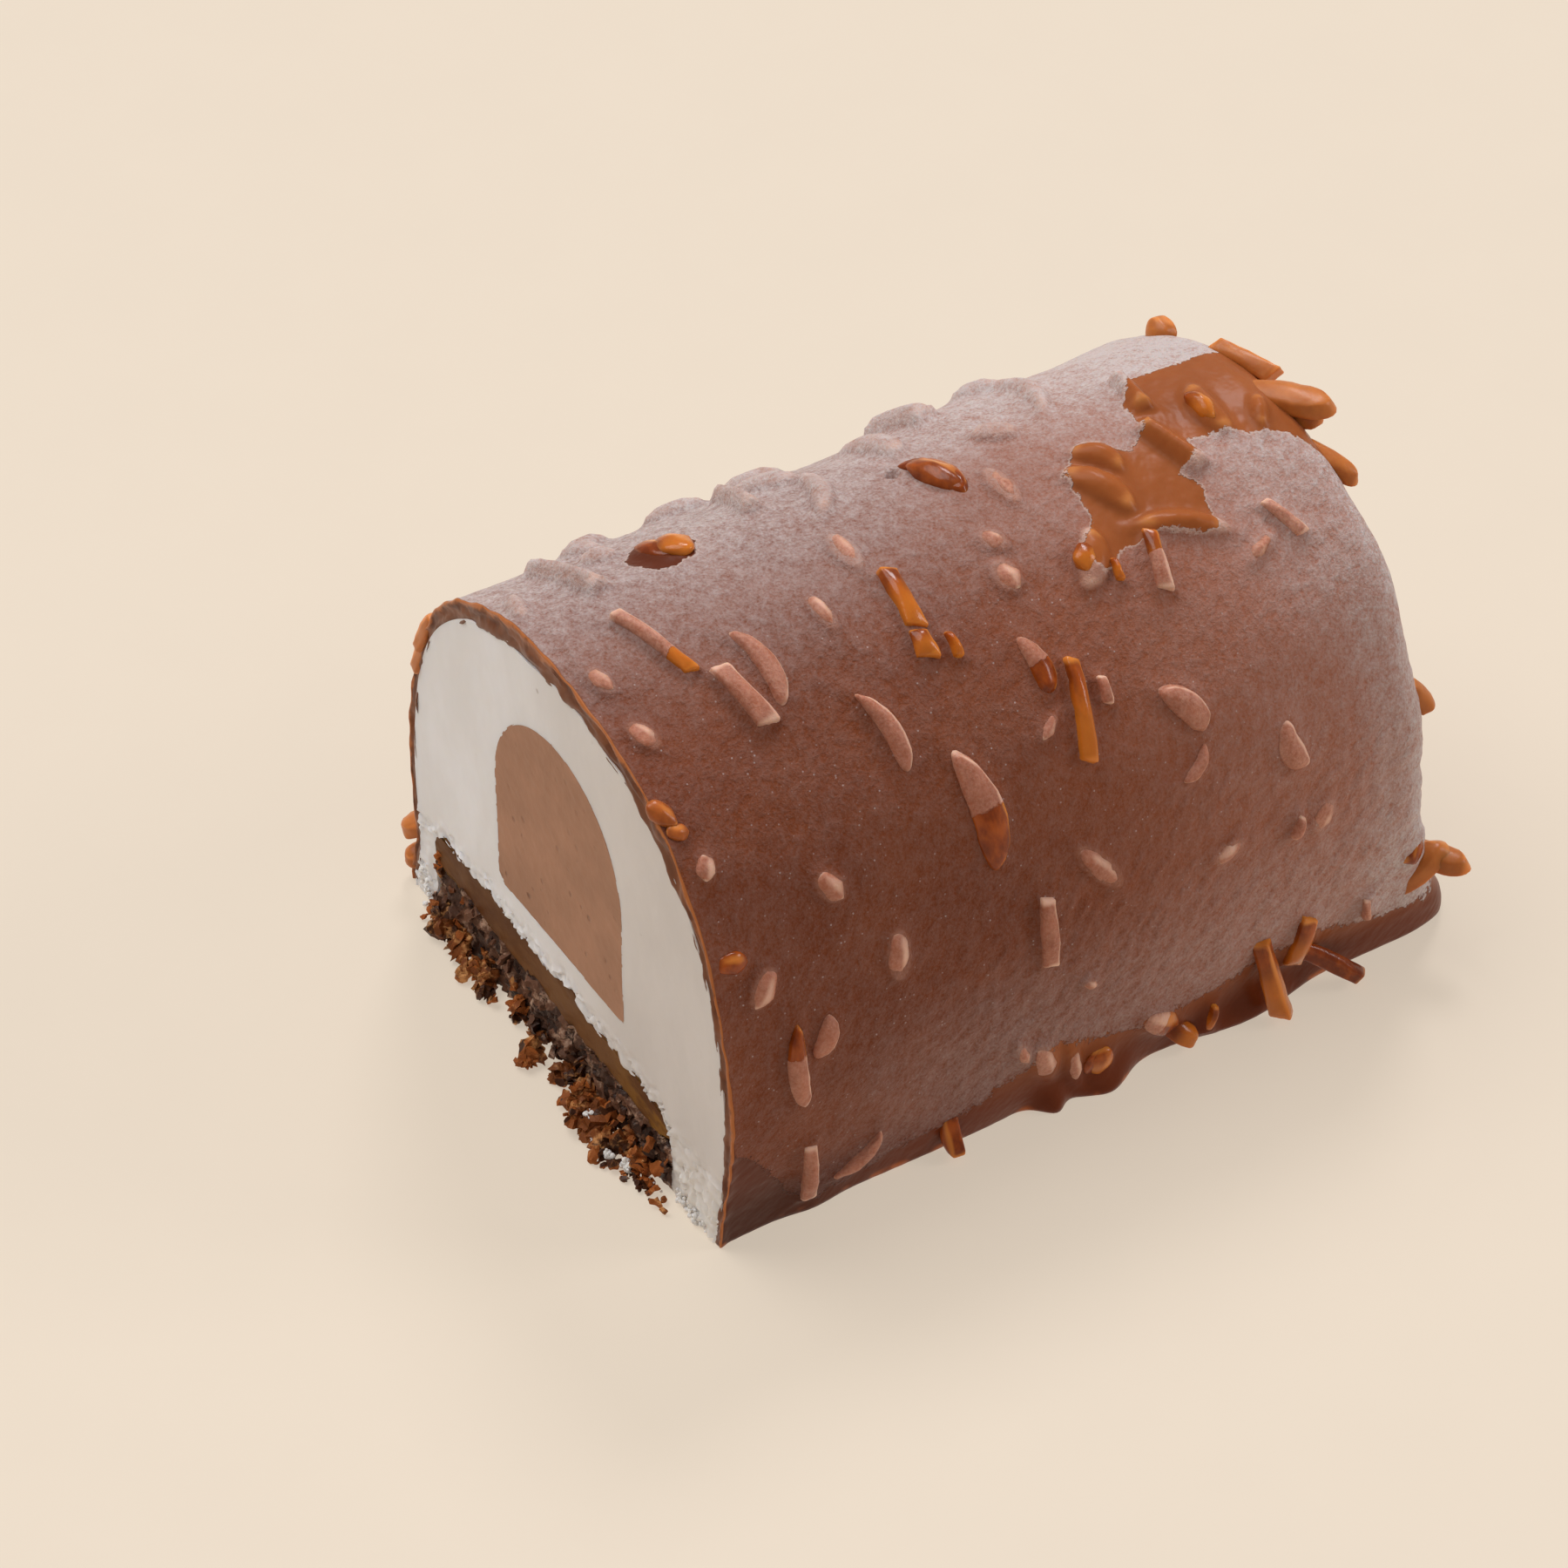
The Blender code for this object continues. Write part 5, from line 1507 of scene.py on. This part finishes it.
def face_flakes(collected, draw, count):
    """Flakes set in the broken face of the biscuit."""
    for _ in range(count):
        bm = flake_shape(draw, draw.uniform(*FACE_SIZES), math.pi / 2)
        x = draw.uniform(BASE_LEFT + FACE_INSET, BASE_RIGHT - FACE_INSET)
        forward = draw.uniform(*FACE_FORWARD)
        lay_down(bm, x, forward, draw.uniform(FACE_BOTTOM, biscuit_top(x) - FACE_BELOW_TOP))
        add_to(collected, bm)


def snow_lumps(collected, draw):
    """Soft broken ice cream: small lumps packed about each place, then a few lying loose."""
    places = [(*place, SNOW_LUMPS) for place in CLINGING_SNOW + CRUMB_SNOW]
    places += [(x, forward, 0.0, largest, count) for x, forward, count, largest in SNOW_CLUSTERS]
    for seed, (x, forward, z, radius, count) in enumerate(places):
        for _ in range(count):
            bm = bmesh.new()
            size = draw.uniform(*SNOW_SIZES)
            bmesh.ops.create_icosphere(bm, subdivisions=2, radius=size)
            for vert in bm.verts:
                shift = Vector((seed, draw.random(), z))
                rough = noise.noise_vector(vert.co / size * SNOW_ROUGH_PITCH + shift)
                vert.co += SNOW_ROUGH * size * rough
            away = away_from(draw, SNOW_SPREAD) * radius
            lay_down(bm, x + away.x, forward - abs(away.y), z + away.z)
            add_to(collected, bm)


def make_crumbs(materials):
    """Biscuit crumbs and scraps of ice cream, clinging to the foot of the cut and in front."""
    draw = random.Random(CRUMB_SEED)
    crumbs, face, snow = bmesh.new(), bmesh.new(), bmesh.new()
    clinging_flakes(crumbs, draw, CLINGING_CRUMBS + LARGER_CRUMBS)
    loose_flakes(crumbs, draw, CRUMB_CLUSTERS)
    face_flakes(crumbs, draw, GOLDEN_FLAKES)
    face_flakes(face, draw, FACE_FLAKES)
    snow_lumps(snow, draw)
    for bm in (crumbs, face, snow):
        face_outwards(bm)
    crisp("biscuit_crumbs", crumbs, materials["crumb"])
    crisp("biscuit_face", face, materials["biscuit"])
    crisp("ice_cream_scraps", snow, materials["snow"])


# ---------------------------------------------------------------- materials


def node(tree, kind, inputs=None, **settings):
    """Adds a shader node; inputs, by name or number, may be values or other nodes' sockets."""
    made = tree.nodes.new(kind)
    for name, value in settings.items():
        setattr(made, name, value)
    for name, value in (inputs or {}).items():
        socket = made.inputs[name]
        if isinstance(value, bpy.types.NodeSocket):
            tree.links.new(value, socket)
        elif socket.type == "RGBA":
            socket.default_value = (*srgb(*value), 1.0)
        else:
            socket.default_value = value
    return made


def new_material(name, preview):
    """A fresh material with its tree and shader; preview is its colour in plain views."""
    material = bpy.data.materials.new(name)
    material.use_nodes = True
    material.diffuse_color = (*srgb(*preview), 1.0)
    tree = material.node_tree
    return material, tree, tree.nodes["Principled BSDF"]


def place_in_object(tree, stretch=(1.0, 1.0, 1.0), turn=(0.0, 0.0, 0.0), mapping="POINT"):
    """Object coordinates, stretched and turned; "TEXTURE" stretches along the turned axes."""
    object_place = node(tree, "ShaderNodeTexCoord").outputs["Object"]
    turn = tuple(math.radians(angle) for angle in turn)
    inputs = {"Vector": object_place, "Scale": stretch, "Rotation": turn}
    return node(tree, "ShaderNodeMapping", inputs, vector_type=mapping).outputs["Vector"]


def axes(tree, vector):
    return node(tree, "ShaderNodeSeparateXYZ", {"Vector": vector}).outputs


def noise_node(tree, vector, scale, detail=2.0, roughness=0.5):
    """Noise with scale given as features per metre."""
    inputs = {"Vector": vector, "Scale": scale, "Detail": detail, "Roughness": roughness}
    return node(tree, "ShaderNodeTexNoise", inputs).outputs["Fac"]


def cell_distance(tree, vector, scale):
    inputs = {"Vector": vector, "Scale": scale}
    return node(tree, "ShaderNodeTexVoronoi", inputs).outputs["Distance"]


def figure(tree, operation, *values):
    """One sum on two or three numbers."""
    inputs = dict(enumerate(values))
    return node(tree, "ShaderNodeMath", inputs, operation=operation).outputs["Value"]


def times(tree, first, second):
    return figure(tree, "MULTIPLY", first, second)


def times_plus(tree, first, second, third):
    return figure(tree, "MULTIPLY_ADD", first, second, third)


def spread_out(tree, value, low, high, to_low=0.0, to_high=1.0, kind="SMOOTHSTEP"):
    """Maps low..high onto another range, held at both ends."""
    inputs = {"Value": value, "From Min": low, "From Max": high, "To Min": to_low, "To Max": to_high}
    return node(tree, "ShaderNodeMapRange", inputs, interpolation_type=kind).outputs["Result"]


def blend(tree, factor, first, second):
    """Mixes two colours, each a socket or a colour as read off a screen."""
    made = node(tree, "ShaderNodeMix", {0: factor, 6: first, 7: second}, data_type="RGBA")
    return made.outputs[2]


def tinted(tree, value, share, colour, tint):
    """A colour with a share of a tint where the value is high."""
    return blend(tree, times(tree, value, share), colour, tint)


def ramp(tree, value, low, high, first, second):
    """From one colour to another while the value goes from low to high."""
    return blend(tree, spread_out(tree, value, low, high), first, second)


def attribute(tree, name):
    return node(tree, "ShaderNodeAttribute", attribute_name=name).outputs["Fac"]


def bumped(tree, shader, height, distance, strength):
    inputs = {"Height": height, "Distance": distance * MM, "Strength": strength}
    tree.links.new(node(tree, "ShaderNodeBump", inputs).outputs["Normal"], shader.inputs["Normal"])


def wire(tree, shader, **sockets):
    """Links sockets to the shader's inputs, whose names are written with underscores."""
    for name, socket in sockets.items():
        tree.links.new(socket, shader.inputs[name.replace("_", " ")])


def set_shader(shader, values):
    for name, value in values.items():
        shader.inputs[name].default_value = value


def let_light_in(shader, share, reach, depth):
    """Light that spreads below the surface: its share, reach per colour and depth in metres."""
    set_shader(shader, {"Subsurface Weight": share, "Subsurface Radius": reach})
    set_shader(shader, {"Subsurface Scale": depth})


def pores(tree, vector, per_metre, edge, patches_per_metre, rarity):
    """Small pores that keep to patches."""
    pore = spread_out(tree, cell_distance(tree, vector, per_metre), *edge, 1.0, 0.0)
    return times(tree, pore, spread_out(tree, noise_node(tree, vector, patches_per_metre), *rarity))


def frost_mask(tree, vector):
    """1 under frost and 0 on bare chocolate, with a jagged line between, and the line."""
    coarse = noise_node(tree, vector, 420.0)
    grains = noise_node(tree, vector, 1500.0, 2.0, 0.6)
    shifted = times_plus(tree, coarse, 0.34, times_plus(tree, grains, 0.3, -0.32))
    level = figure(tree, "ADD", attribute(tree, "frost_cover"), shifted)
    mask = spread_out(tree, level, 0.48, 0.53)
    line = times(tree, mask, spread_out(tree, level, 0.5, 0.62, 1.0, 0.0))
    return mask, times(tree, line, attribute(tree, "frost_crisp"))


def frosted_look(tree, shade, mask, frost):
    """Frost over a shade of chocolate: fine mottling, slanted dapples and bright specks."""
    vector = place_in_object(tree)
    slanted = place_in_object(tree, (1.1, 1.35, 0.85), (50.0, 0.0, 0.0), "TEXTURE")
    cloud = noise_node(tree, slanted, 180.0, 3.0, 0.6)
    dapple = noise_node(tree, slanted, 700.0)
    grain = noise_node(tree, vector, 2300.0, 2.0, 0.7)
    mottle = times_plus(tree, grain, 2.1, times(tree, dapple, 1.3))
    mottle = times_plus(tree, cloud, 0.6, figure(tree, "SUBTRACT", mottle, 2.0))
    amount = times(tree, attribute(tree, "frost_weight"), times_plus(tree, mottle, 0.9, 1.0))
    amount = times_plus(tree, mottle, 0.06, amount)
    amount = times(tree, spread_out(tree, amount, 0.0, 0.95, 0.0, 0.95, "LINEAR"), mask)
    speck = spread_out(tree, cell_distance(tree, vector, 900.0), 0.05, 0.17, 1.0, 0.0)
    speck = times(tree, times(tree, speck, mask), spread_out(tree, dapple, 0.4, 0.6, 0.05, 0.55))
    frosted = blend(tree, figure(tree, "MAXIMUM", amount, speck), shade, frost)
    height = times_plus(tree, cloud, 1.6, times(tree, grain, mask))
    return frosted, times_plus(tree, times(tree, dapple, mask), 1.8, height)


def chocolate_shade(tree, vector, mask):
    """The chocolate below the frost and where it is bare: paler over almonds, painted paler towards the
    far end, and with painted shade dark at the foot.
    """
    cloud = spread_out(tree, noise_node(tree, vector, 90.0, 3.0, 0.6), 0.3, 0.7)
    parts = axes(tree, vector)
    raised = spread_out(tree, attribute(tree, "raised"), 0.4, 1.0)
    tips = times(tree, attribute(tree, "tips"), raised)
    shade = blend(tree, cloud, (123, 63, 34), (114, 56, 29))
    # Painted light: the chocolate turns paler towards the far end.
    shade = ramp(tree, parts["Y"], -0.02, 0.045, shade, (154, 87, 57))
    shade = tinted(tree, raised, 0.4, shade, (204, 152, 130))
    # Painted highlight, partly thinner chocolate: the tips of sunk almonds are paler.
    shade = tinted(tree, tips, 0.75, shade, (222, 176, 152))
    satin = blend(tree, cloud, (160, 90, 48), (146, 80, 41))
    # Painted shade: the bare chocolate darkens towards the cut.
    satin = ramp(tree, parts["Y"], -0.03, 0.0, (94, 44, 25), satin)
    satin = tinted(tree, raised, 0.22, satin, (188, 102, 42))
    # Likewise a painted highlight at those tips on bare chocolate.
    satin = tinted(tree, tips, 0.6, satin, (230, 156, 88))
    shade = blend(tree, mask, satin, shade)
    # Painted shade: the chocolate darkens at the foot, most near the cut.
    low = ramp(tree, parts["Y"], -0.05, -0.02, (74, 30, 10), (106, 46, 20))
    shade = blend(tree, spread_out(tree, parts["Z"], 0.003, 0.013, 1.0, 0.0), shade, low)
    # Painted highlight: patchy orange glints along the very foot.
    lip = spread_out(tree, parts["Z"], 0.0004, 0.0014, 1.0, 0.0)
    lip = times(tree, lip, spread_out(tree, noise_node(tree, vector, 140.0), 0.54, 0.64))
    return blend(tree, lip, shade, (176, 92, 42))


def cut_look(tree, vector):
    """The coating's cut edge: its colour, and where it shows."""
    cut = attribute(tree, "cut_edge")
    grain = noise_node(tree, vector, 420.0, 3.0, 0.6)
    patches = noise_node(tree, vector, 260.0, 3.0, 0.6)
    across = times_plus(tree, grain, 0.5, figure(tree, "SUBTRACT", cut, 0.25))
    colour = ramp(tree, patches, 0.42, 0.6, (100, 54, 31), (130, 76, 46))
    colour = ramp(tree, across, 0.55, 0.95, colour, (118, 76, 55))
    # Partly the lip's warmer chocolate, partly a painted highlight: pale orange along the outer lip.
    colour = blend(tree, spread_out(tree, across, 0.34, 0.5, 1.0, 0.0), colour, (180, 108, 60))
    return colour, spread_out(tree, cut, 0.1, 0.28)


def chocolate_material():
    """Milk chocolate: satin where bare, mottled with whitish frost elsewhere, brown at the cut."""
    material, tree, shader = new_material("milk_chocolate", (109, 63, 47))
    vector = place_in_object(tree)
    mask, line = frost_mask(tree, vector)
    frosted, height = frosted_look(tree, chocolate_shade(tree, vector, mask), mask, FROST_COLOUR)
    frosted = tinted(tree, line, 0.5, frosted, (222, 200, 188))
    cut_colour, on_cut = cut_look(tree, vector)
    rough = spread_out(tree, mask, 0.0, 1.0, 0.32, 0.55, "LINEAR")
    rough = times_plus(tree, on_cut, figure(tree, "SUBTRACT", 0.3, rough), rough)
    wire(tree, shader, Base_Color=blend(tree, on_cut, frosted, cut_colour), Roughness=rough)
    bumped(tree, shader, height, 0.3, 0.7)
    let_light_in(shader, 0.15, (0.9, 0.35, 0.2), 0.001)
    set_shader(shader, {"Specular IOR Level": 0.11, "Sheen Weight": 0.025, "Sheen Roughness": 0.35})
    set_shader(shader, {"Sheen Tint": (0.9, 0.86, 1.0, 1.0)})
    return material


def almond_material():
    """Chopped almonds under a film of chocolate: frosted, or glossy orange brown, with a paler crest
    that is painted highlight.
    """
    material, tree, shader = new_material("chopped_almond", (150, 93, 74))
    vector = place_in_object(tree)
    grains = noise_node(tree, vector, 900.0, 3.0, 0.6)
    patchy = noise_node(tree, vector, 170.0)
    streaky = place_in_object(tree, (1.0, 1.6, 1.0), (20.0, 30.0, 0.0))
    streak = noise_node(tree, streaky, 260.0, 4.0, 0.6)
    from_crest = figure(tree, "SUBTRACT", attribute(tree, "crest"), 0.5)
    crest = times_plus(tree, patchy, 1.0, from_crest)
    frayed = times_plus(tree, grains, 0.5, -0.25)
    bare_level = figure(tree, "ADD", attribute(tree, "bare"), frayed)
    bare = spread_out(tree, bare_level, 0.45, 0.55)

    film = ramp(tree, streak, 0.35, 0.68, (112, 41, 6), (164, 75, 17))
    # Painted highlight: the crests of bare and coated pieces are paler orange.
    film = blend(tree, spread_out(tree, crest, 0.4, 1.1, 0.0, 0.75), film, (226, 142, 60))
    coated = ramp(tree, streak, 0.3, 0.7, (182, 104, 46), (198, 118, 54))
    coated = blend(tree, spread_out(tree, crest, 0.4, 1.1, 0.0, 0.8), coated, (226, 140, 72))
    amber = attribute(tree, "amber")
    film = ramp(tree, amber, 0.1, 1.0, coated, film)
    # Gold where the almond shows through, brighter at one end with painted light.
    film = blend(tree, spread_out(tree, amber, 0.9, 1.6, 0.0, 0.65), film, (214, 124, 38))
    skin = ramp(tree, streak, 0.3, 0.7, (140, 70, 40), (162, 88, 56))
    covered = figure(tree, "SUBTRACT", 1.0, bare)
    frosted, height = frosted_look(tree, skin, covered, ALMOND_FROST_COLOUR)
    # Partly thin frost, partly painted highlight: the crest of a frosted piece is paler.
    thin = times(tree, spread_out(tree, crest, 0.3, 1.0, 0.0, 0.8), covered)
    frosted = blend(tree, thin, frosted, (230, 186, 162))
    gloss = times(tree, bare, spread_out(tree, amber, 0.2, 1.0, 0.5, 1.0))
    rough = spread_out(tree, gloss, 0.0, 1.0, 0.52, 0.2, "LINEAR")
    wire(tree, shader, Base_Color=blend(tree, bare, frosted, film), Roughness=rough)
    bumped(tree, shader, figure(tree, "ADD", height, streak), 0.2, 0.5)
    let_light_in(shader, 0.3, (1.0, 0.45, 0.2), 0.0015)
    set_shader(shader, {"Specular IOR Level": 0.28, "Sheen Weight": 0.04, "Sheen Roughness": 0.4})
    return material


def vanilla_material():
    """Vanilla ice cream: creamy, with faint warm smears and small dark pores, and painted shade that
    darkens and warms it towards the right.
    """
    material, tree, shader = new_material("vanilla_ice_cream", (200, 190, 181))
    vector = place_in_object(tree)
    parts = axes(tree, vector)
    smear = noise_node(tree, place_in_object(tree, (1.0, 1.0, 0.5), (0.0, 25.0, 0.0)), 70.0, 4.0, 0.6)
    fine = noise_node(tree, vector, 900.0, 3.0, 0.6)
    cool = ramp(tree, smear, 0.3, 0.7, (229, 226, 226), (239, 238, 241))
    warm = ramp(tree, smear, 0.3, 0.7, (209, 201, 196), (218, 210, 205))
    # Painted shade and bounced light: the face turns darker and warmer from left to right.
    colour = ramp(tree, parts["X"], -0.022, 0.02, cool, warm)
    near_floor = spread_out(tree, parts["Z"], 0.004, 0.014, 1.0, 0.0)
    snowy = times(tree, near_floor, spread_out(tree, parts["X"], 0.023, 0.028))
    colour = tinted(tree, snowy, 0.8, colour, (232, 226, 220))
    pore = pores(tree, vector, 260.0, (0.06, 0.14), 130.0, (0.56, 0.66))
    wire(tree, shader, Base_Color=tinted(tree, pore, 0.5, colour, (140, 112, 96)))
    bumped(tree, shader, figure(tree, "SUBTRACT", times(tree, fine, 0.3), pore), 0.2, 0.5)
    set_shader(shader, {"Roughness": 0.52})
    let_light_in(shader, 0.35, (1.0, 0.8, 0.6), 0.0025)
    return material


def core_material():
    """Chocolate ice cream: pale brown, with most of its pores low down."""
    material, tree, shader = new_material("chocolate_ice_cream", (153, 112, 90))
    vector = place_in_object(tree)
    cloud = noise_node(tree, vector, 110.0, 4.0, 0.6)
    fine = noise_node(tree, vector, 900.0, 3.0, 0.65)
    low = spread_out(tree, axes(tree, vector)["Z"], 0.024, 0.044, 1.0, 0.25)
    pore = times(tree, pores(tree, vector, 420.0, (0.1, 0.26), 210.0, (0.46, 0.6)), low)
    colour = ramp(tree, cloud, 0.3, 0.7, (158, 111, 82), (173, 123, 93))
    wire(tree, shader, Base_Color=tinted(tree, pore, 0.6, colour, (104, 66, 48)))
    bumped(tree, shader, figure(tree, "SUBTRACT", times(tree, fine, 0.4), pore), 0.3, 0.7)
    set_shader(shader, {"Roughness": 0.6})
    let_light_in(shader, 0.2, (1.0, 0.6, 0.4), 0.0015)
    return material


def caramel_material():
    """Caramel: smooth khaki brown, a little glossy."""
    material, tree, shader = new_material("caramel", (89, 57, 38))
    vector = place_in_object(tree, (0.5, 1.0, 1.0))
    cloud = noise_node(tree, vector, 180.0, 4.0, 0.6)
    fine = noise_node(tree, vector, 900.0, 2.0, 0.6)
    colour = ramp(tree, cloud, 0.3, 0.7, (90, 54, 29), (114, 76, 44))
    olive = spread_out(tree, axes(tree, vector)["X"], 0.004, 0.011)
    olive = times(tree, olive, spread_out(tree, cloud, 0.4, 0.55))
    wire(tree, shader, Base_Color=tinted(tree, olive, 0.8, colour, (140, 96, 38)))
    bumped(tree, shader, figure(tree, "ADD", cloud, times(tree, fine, 0.2)), 0.25, 0.6)
    set_shader(shader, {"Roughness": 0.42, "Specular IOR Level": 0.04})
    let_light_in(shader, 0.1, (1.0, 0.5, 0.2), 0.001)
    return material


def biscuit_material(name, preview, cells_per_metre, tones):
    """Crushed biscuit: dark gaps, partly own colour and partly painted shade, and lighter, slightly
    sparkling grains.
    """
    dark, mid, bright = tones
    material, tree, shader = new_material(name, preview)
    vector = place_in_object(tree)
    cells = node(tree, "ShaderNodeTexVoronoi", {"Vector": vector, "Scale": cells_per_metre})
    grain = noise_node(tree, vector, 760.0, 3.0, 0.65)
    patch = noise_node(tree, vector, 260.0, 3.0, 0.6)
    tone = node(tree, "ShaderNodeSeparateColor", {"Color": cells.outputs["Color"]}).outputs["Red"]
    # Partly painted shade: the darker cells are also bumped lower, as gaps.
    colour = ramp(tree, tone, 0.2, 0.9, dark, mid)
    colour = ramp(tree, figure(tree, "ADD", grain, patch), 1.04, 1.3, colour, bright)
    wire(tree, shader, Base_Color=colour, Roughness=spread_out(tree, tone, 0.0, 1.0, 0.35, 0.75))
    bumped(tree, shader, figure(tree, "ADD", grain, times(tree, tone, 0.5)), 0.35, 0.8)
    set_shader(shader, {"Specular IOR Level": 0.2})
    let_light_in(shader, 0.1, (1.0, 0.5, 0.2), 0.001)
    return material


def snow_material():
    """Ice cream broken to crumbs: whiter and rougher."""
    material, tree, shader = new_material("ice_cream_scrap", (214, 204, 196))
    grain = noise_node(tree, place_in_object(tree), 900.0, 3.0, 0.7)
    wire(tree, shader, Base_Color=ramp(tree, grain, 0.3, 0.7, (236, 229, 222), (250, 246, 242)))
    bumped(tree, shader, grain, 0.2, 0.6)
    set_shader(shader, {"Roughness": 0.6})
    let_light_in(shader, 0.3, (1.0, 0.8, 0.6), 0.0015)
    return material


# ---------------------------------------------------------------- the studio


def make_floor():
    """A large pale floor just below the log."""
    bm = bmesh.new()
    bmesh.ops.create_grid(bm, x_segments=1, y_segments=1, size=FLOOR_HALF)
    bmesh.ops.translate(bm, vec=(0.0, 0.0, -FLOOR_BELOW), verts=bm.verts)
    mesh = bpy.data.meshes.new("floor")
    bm.to_mesh(mesh)
    bm.free()
    material, tree, shader = new_material("floor", FLOOR_COLOUR)
    grain = noise_node(tree, place_in_object(tree), 60.0, 3.0, 0.6)
    lit = figure(tree, "MULTIPLY_ADD", grain, FLOOR_GRAIN, FLOOR_LIT - FLOOR_GRAIN / 2)
    inputs = {"Vector": srgb(*FLOOR_COLOUR), "Scale": lit}
    colour = node(tree, "ShaderNodeVectorMath", inputs, operation="SCALE")
    wire(tree, shader, Base_Color=colour.outputs["Vector"])
    set_shader(shader, {"Roughness": 0.9, "Specular IOR Level": 0.0})
    set_shader(shader, {"Emission Color": (*srgb(*FLOOR_COLOUR), 1.0), "Emission Strength": FLOOR_GLOW})
    mesh.materials.append(material)
    floor = bpy.data.objects.new("floor", mesh)
    bpy.context.scene.collection.objects.link(floor)


def make_lights(scene):
    """An even pale surround and three suns: a broad one, one from behind and a low one."""
    world = bpy.data.worlds.new("surround")
    world.use_nodes = True
    background = world.node_tree.nodes["Background"]
    background.inputs["Color"].default_value = (*SURROUND_COLOUR, 1.0)
    background.inputs["Strength"].default_value = SURROUND_STRENGTH
    scene.world = world
    for name, strength, colour, breadth, elevation, heading in SUNS:
        light = bpy.data.lights.new(name, "SUN")
        light.energy = strength
        light.color = colour
        light.angle = math.radians(breadth)
        lamp = bpy.data.objects.new(name, light)
        lamp.rotation_euler = (math.radians(90 - elevation), 0.0, math.radians(heading))
        scene.collection.objects.link(lamp)


def make_camera(scene):
    camera = bpy.data.cameras.new("camera")
    camera.lens = CAMERA_LENS
    camera.sensor_width = CAMERA_SENSOR
    camera.clip_start = CAMERA_CLIP
    holder = bpy.data.objects.new("camera", camera)
    holder.location = Vector(CAMERA_PLACE) * MM
    holder.rotation_euler = (math.radians(90 - CAMERA_ELEVATION), 0.0, math.radians(CAMERA_HEADING))
    scene.collection.objects.link(holder)
    scene.camera = holder


def main():
    noise.seed_set(NOISE_SEED)
    scene = bpy.context.scene
    scene.view_settings.view_transform = "Standard"
    pieces = all_pieces()
    materials = {
        "vanilla": vanilla_material(),
        "core": core_material(),
        "caramel": caramel_material(),
        "biscuit": biscuit_material("biscuit", (88, 61, 50), 560.0, BISCUIT_TONES),
        "crumb": biscuit_material("biscuit_crumb", (110, 62, 32), 360.0, CRUMB_TONES),
        "snow": snow_material(),
    }
    make_coat(pieces, chocolate_material())
    make_almonds(pieces, almond_material())
    make_layers(materials)
    make_crumbs(materials)
    make_floor()
    make_lights(scene)
    make_camera(scene)


main()
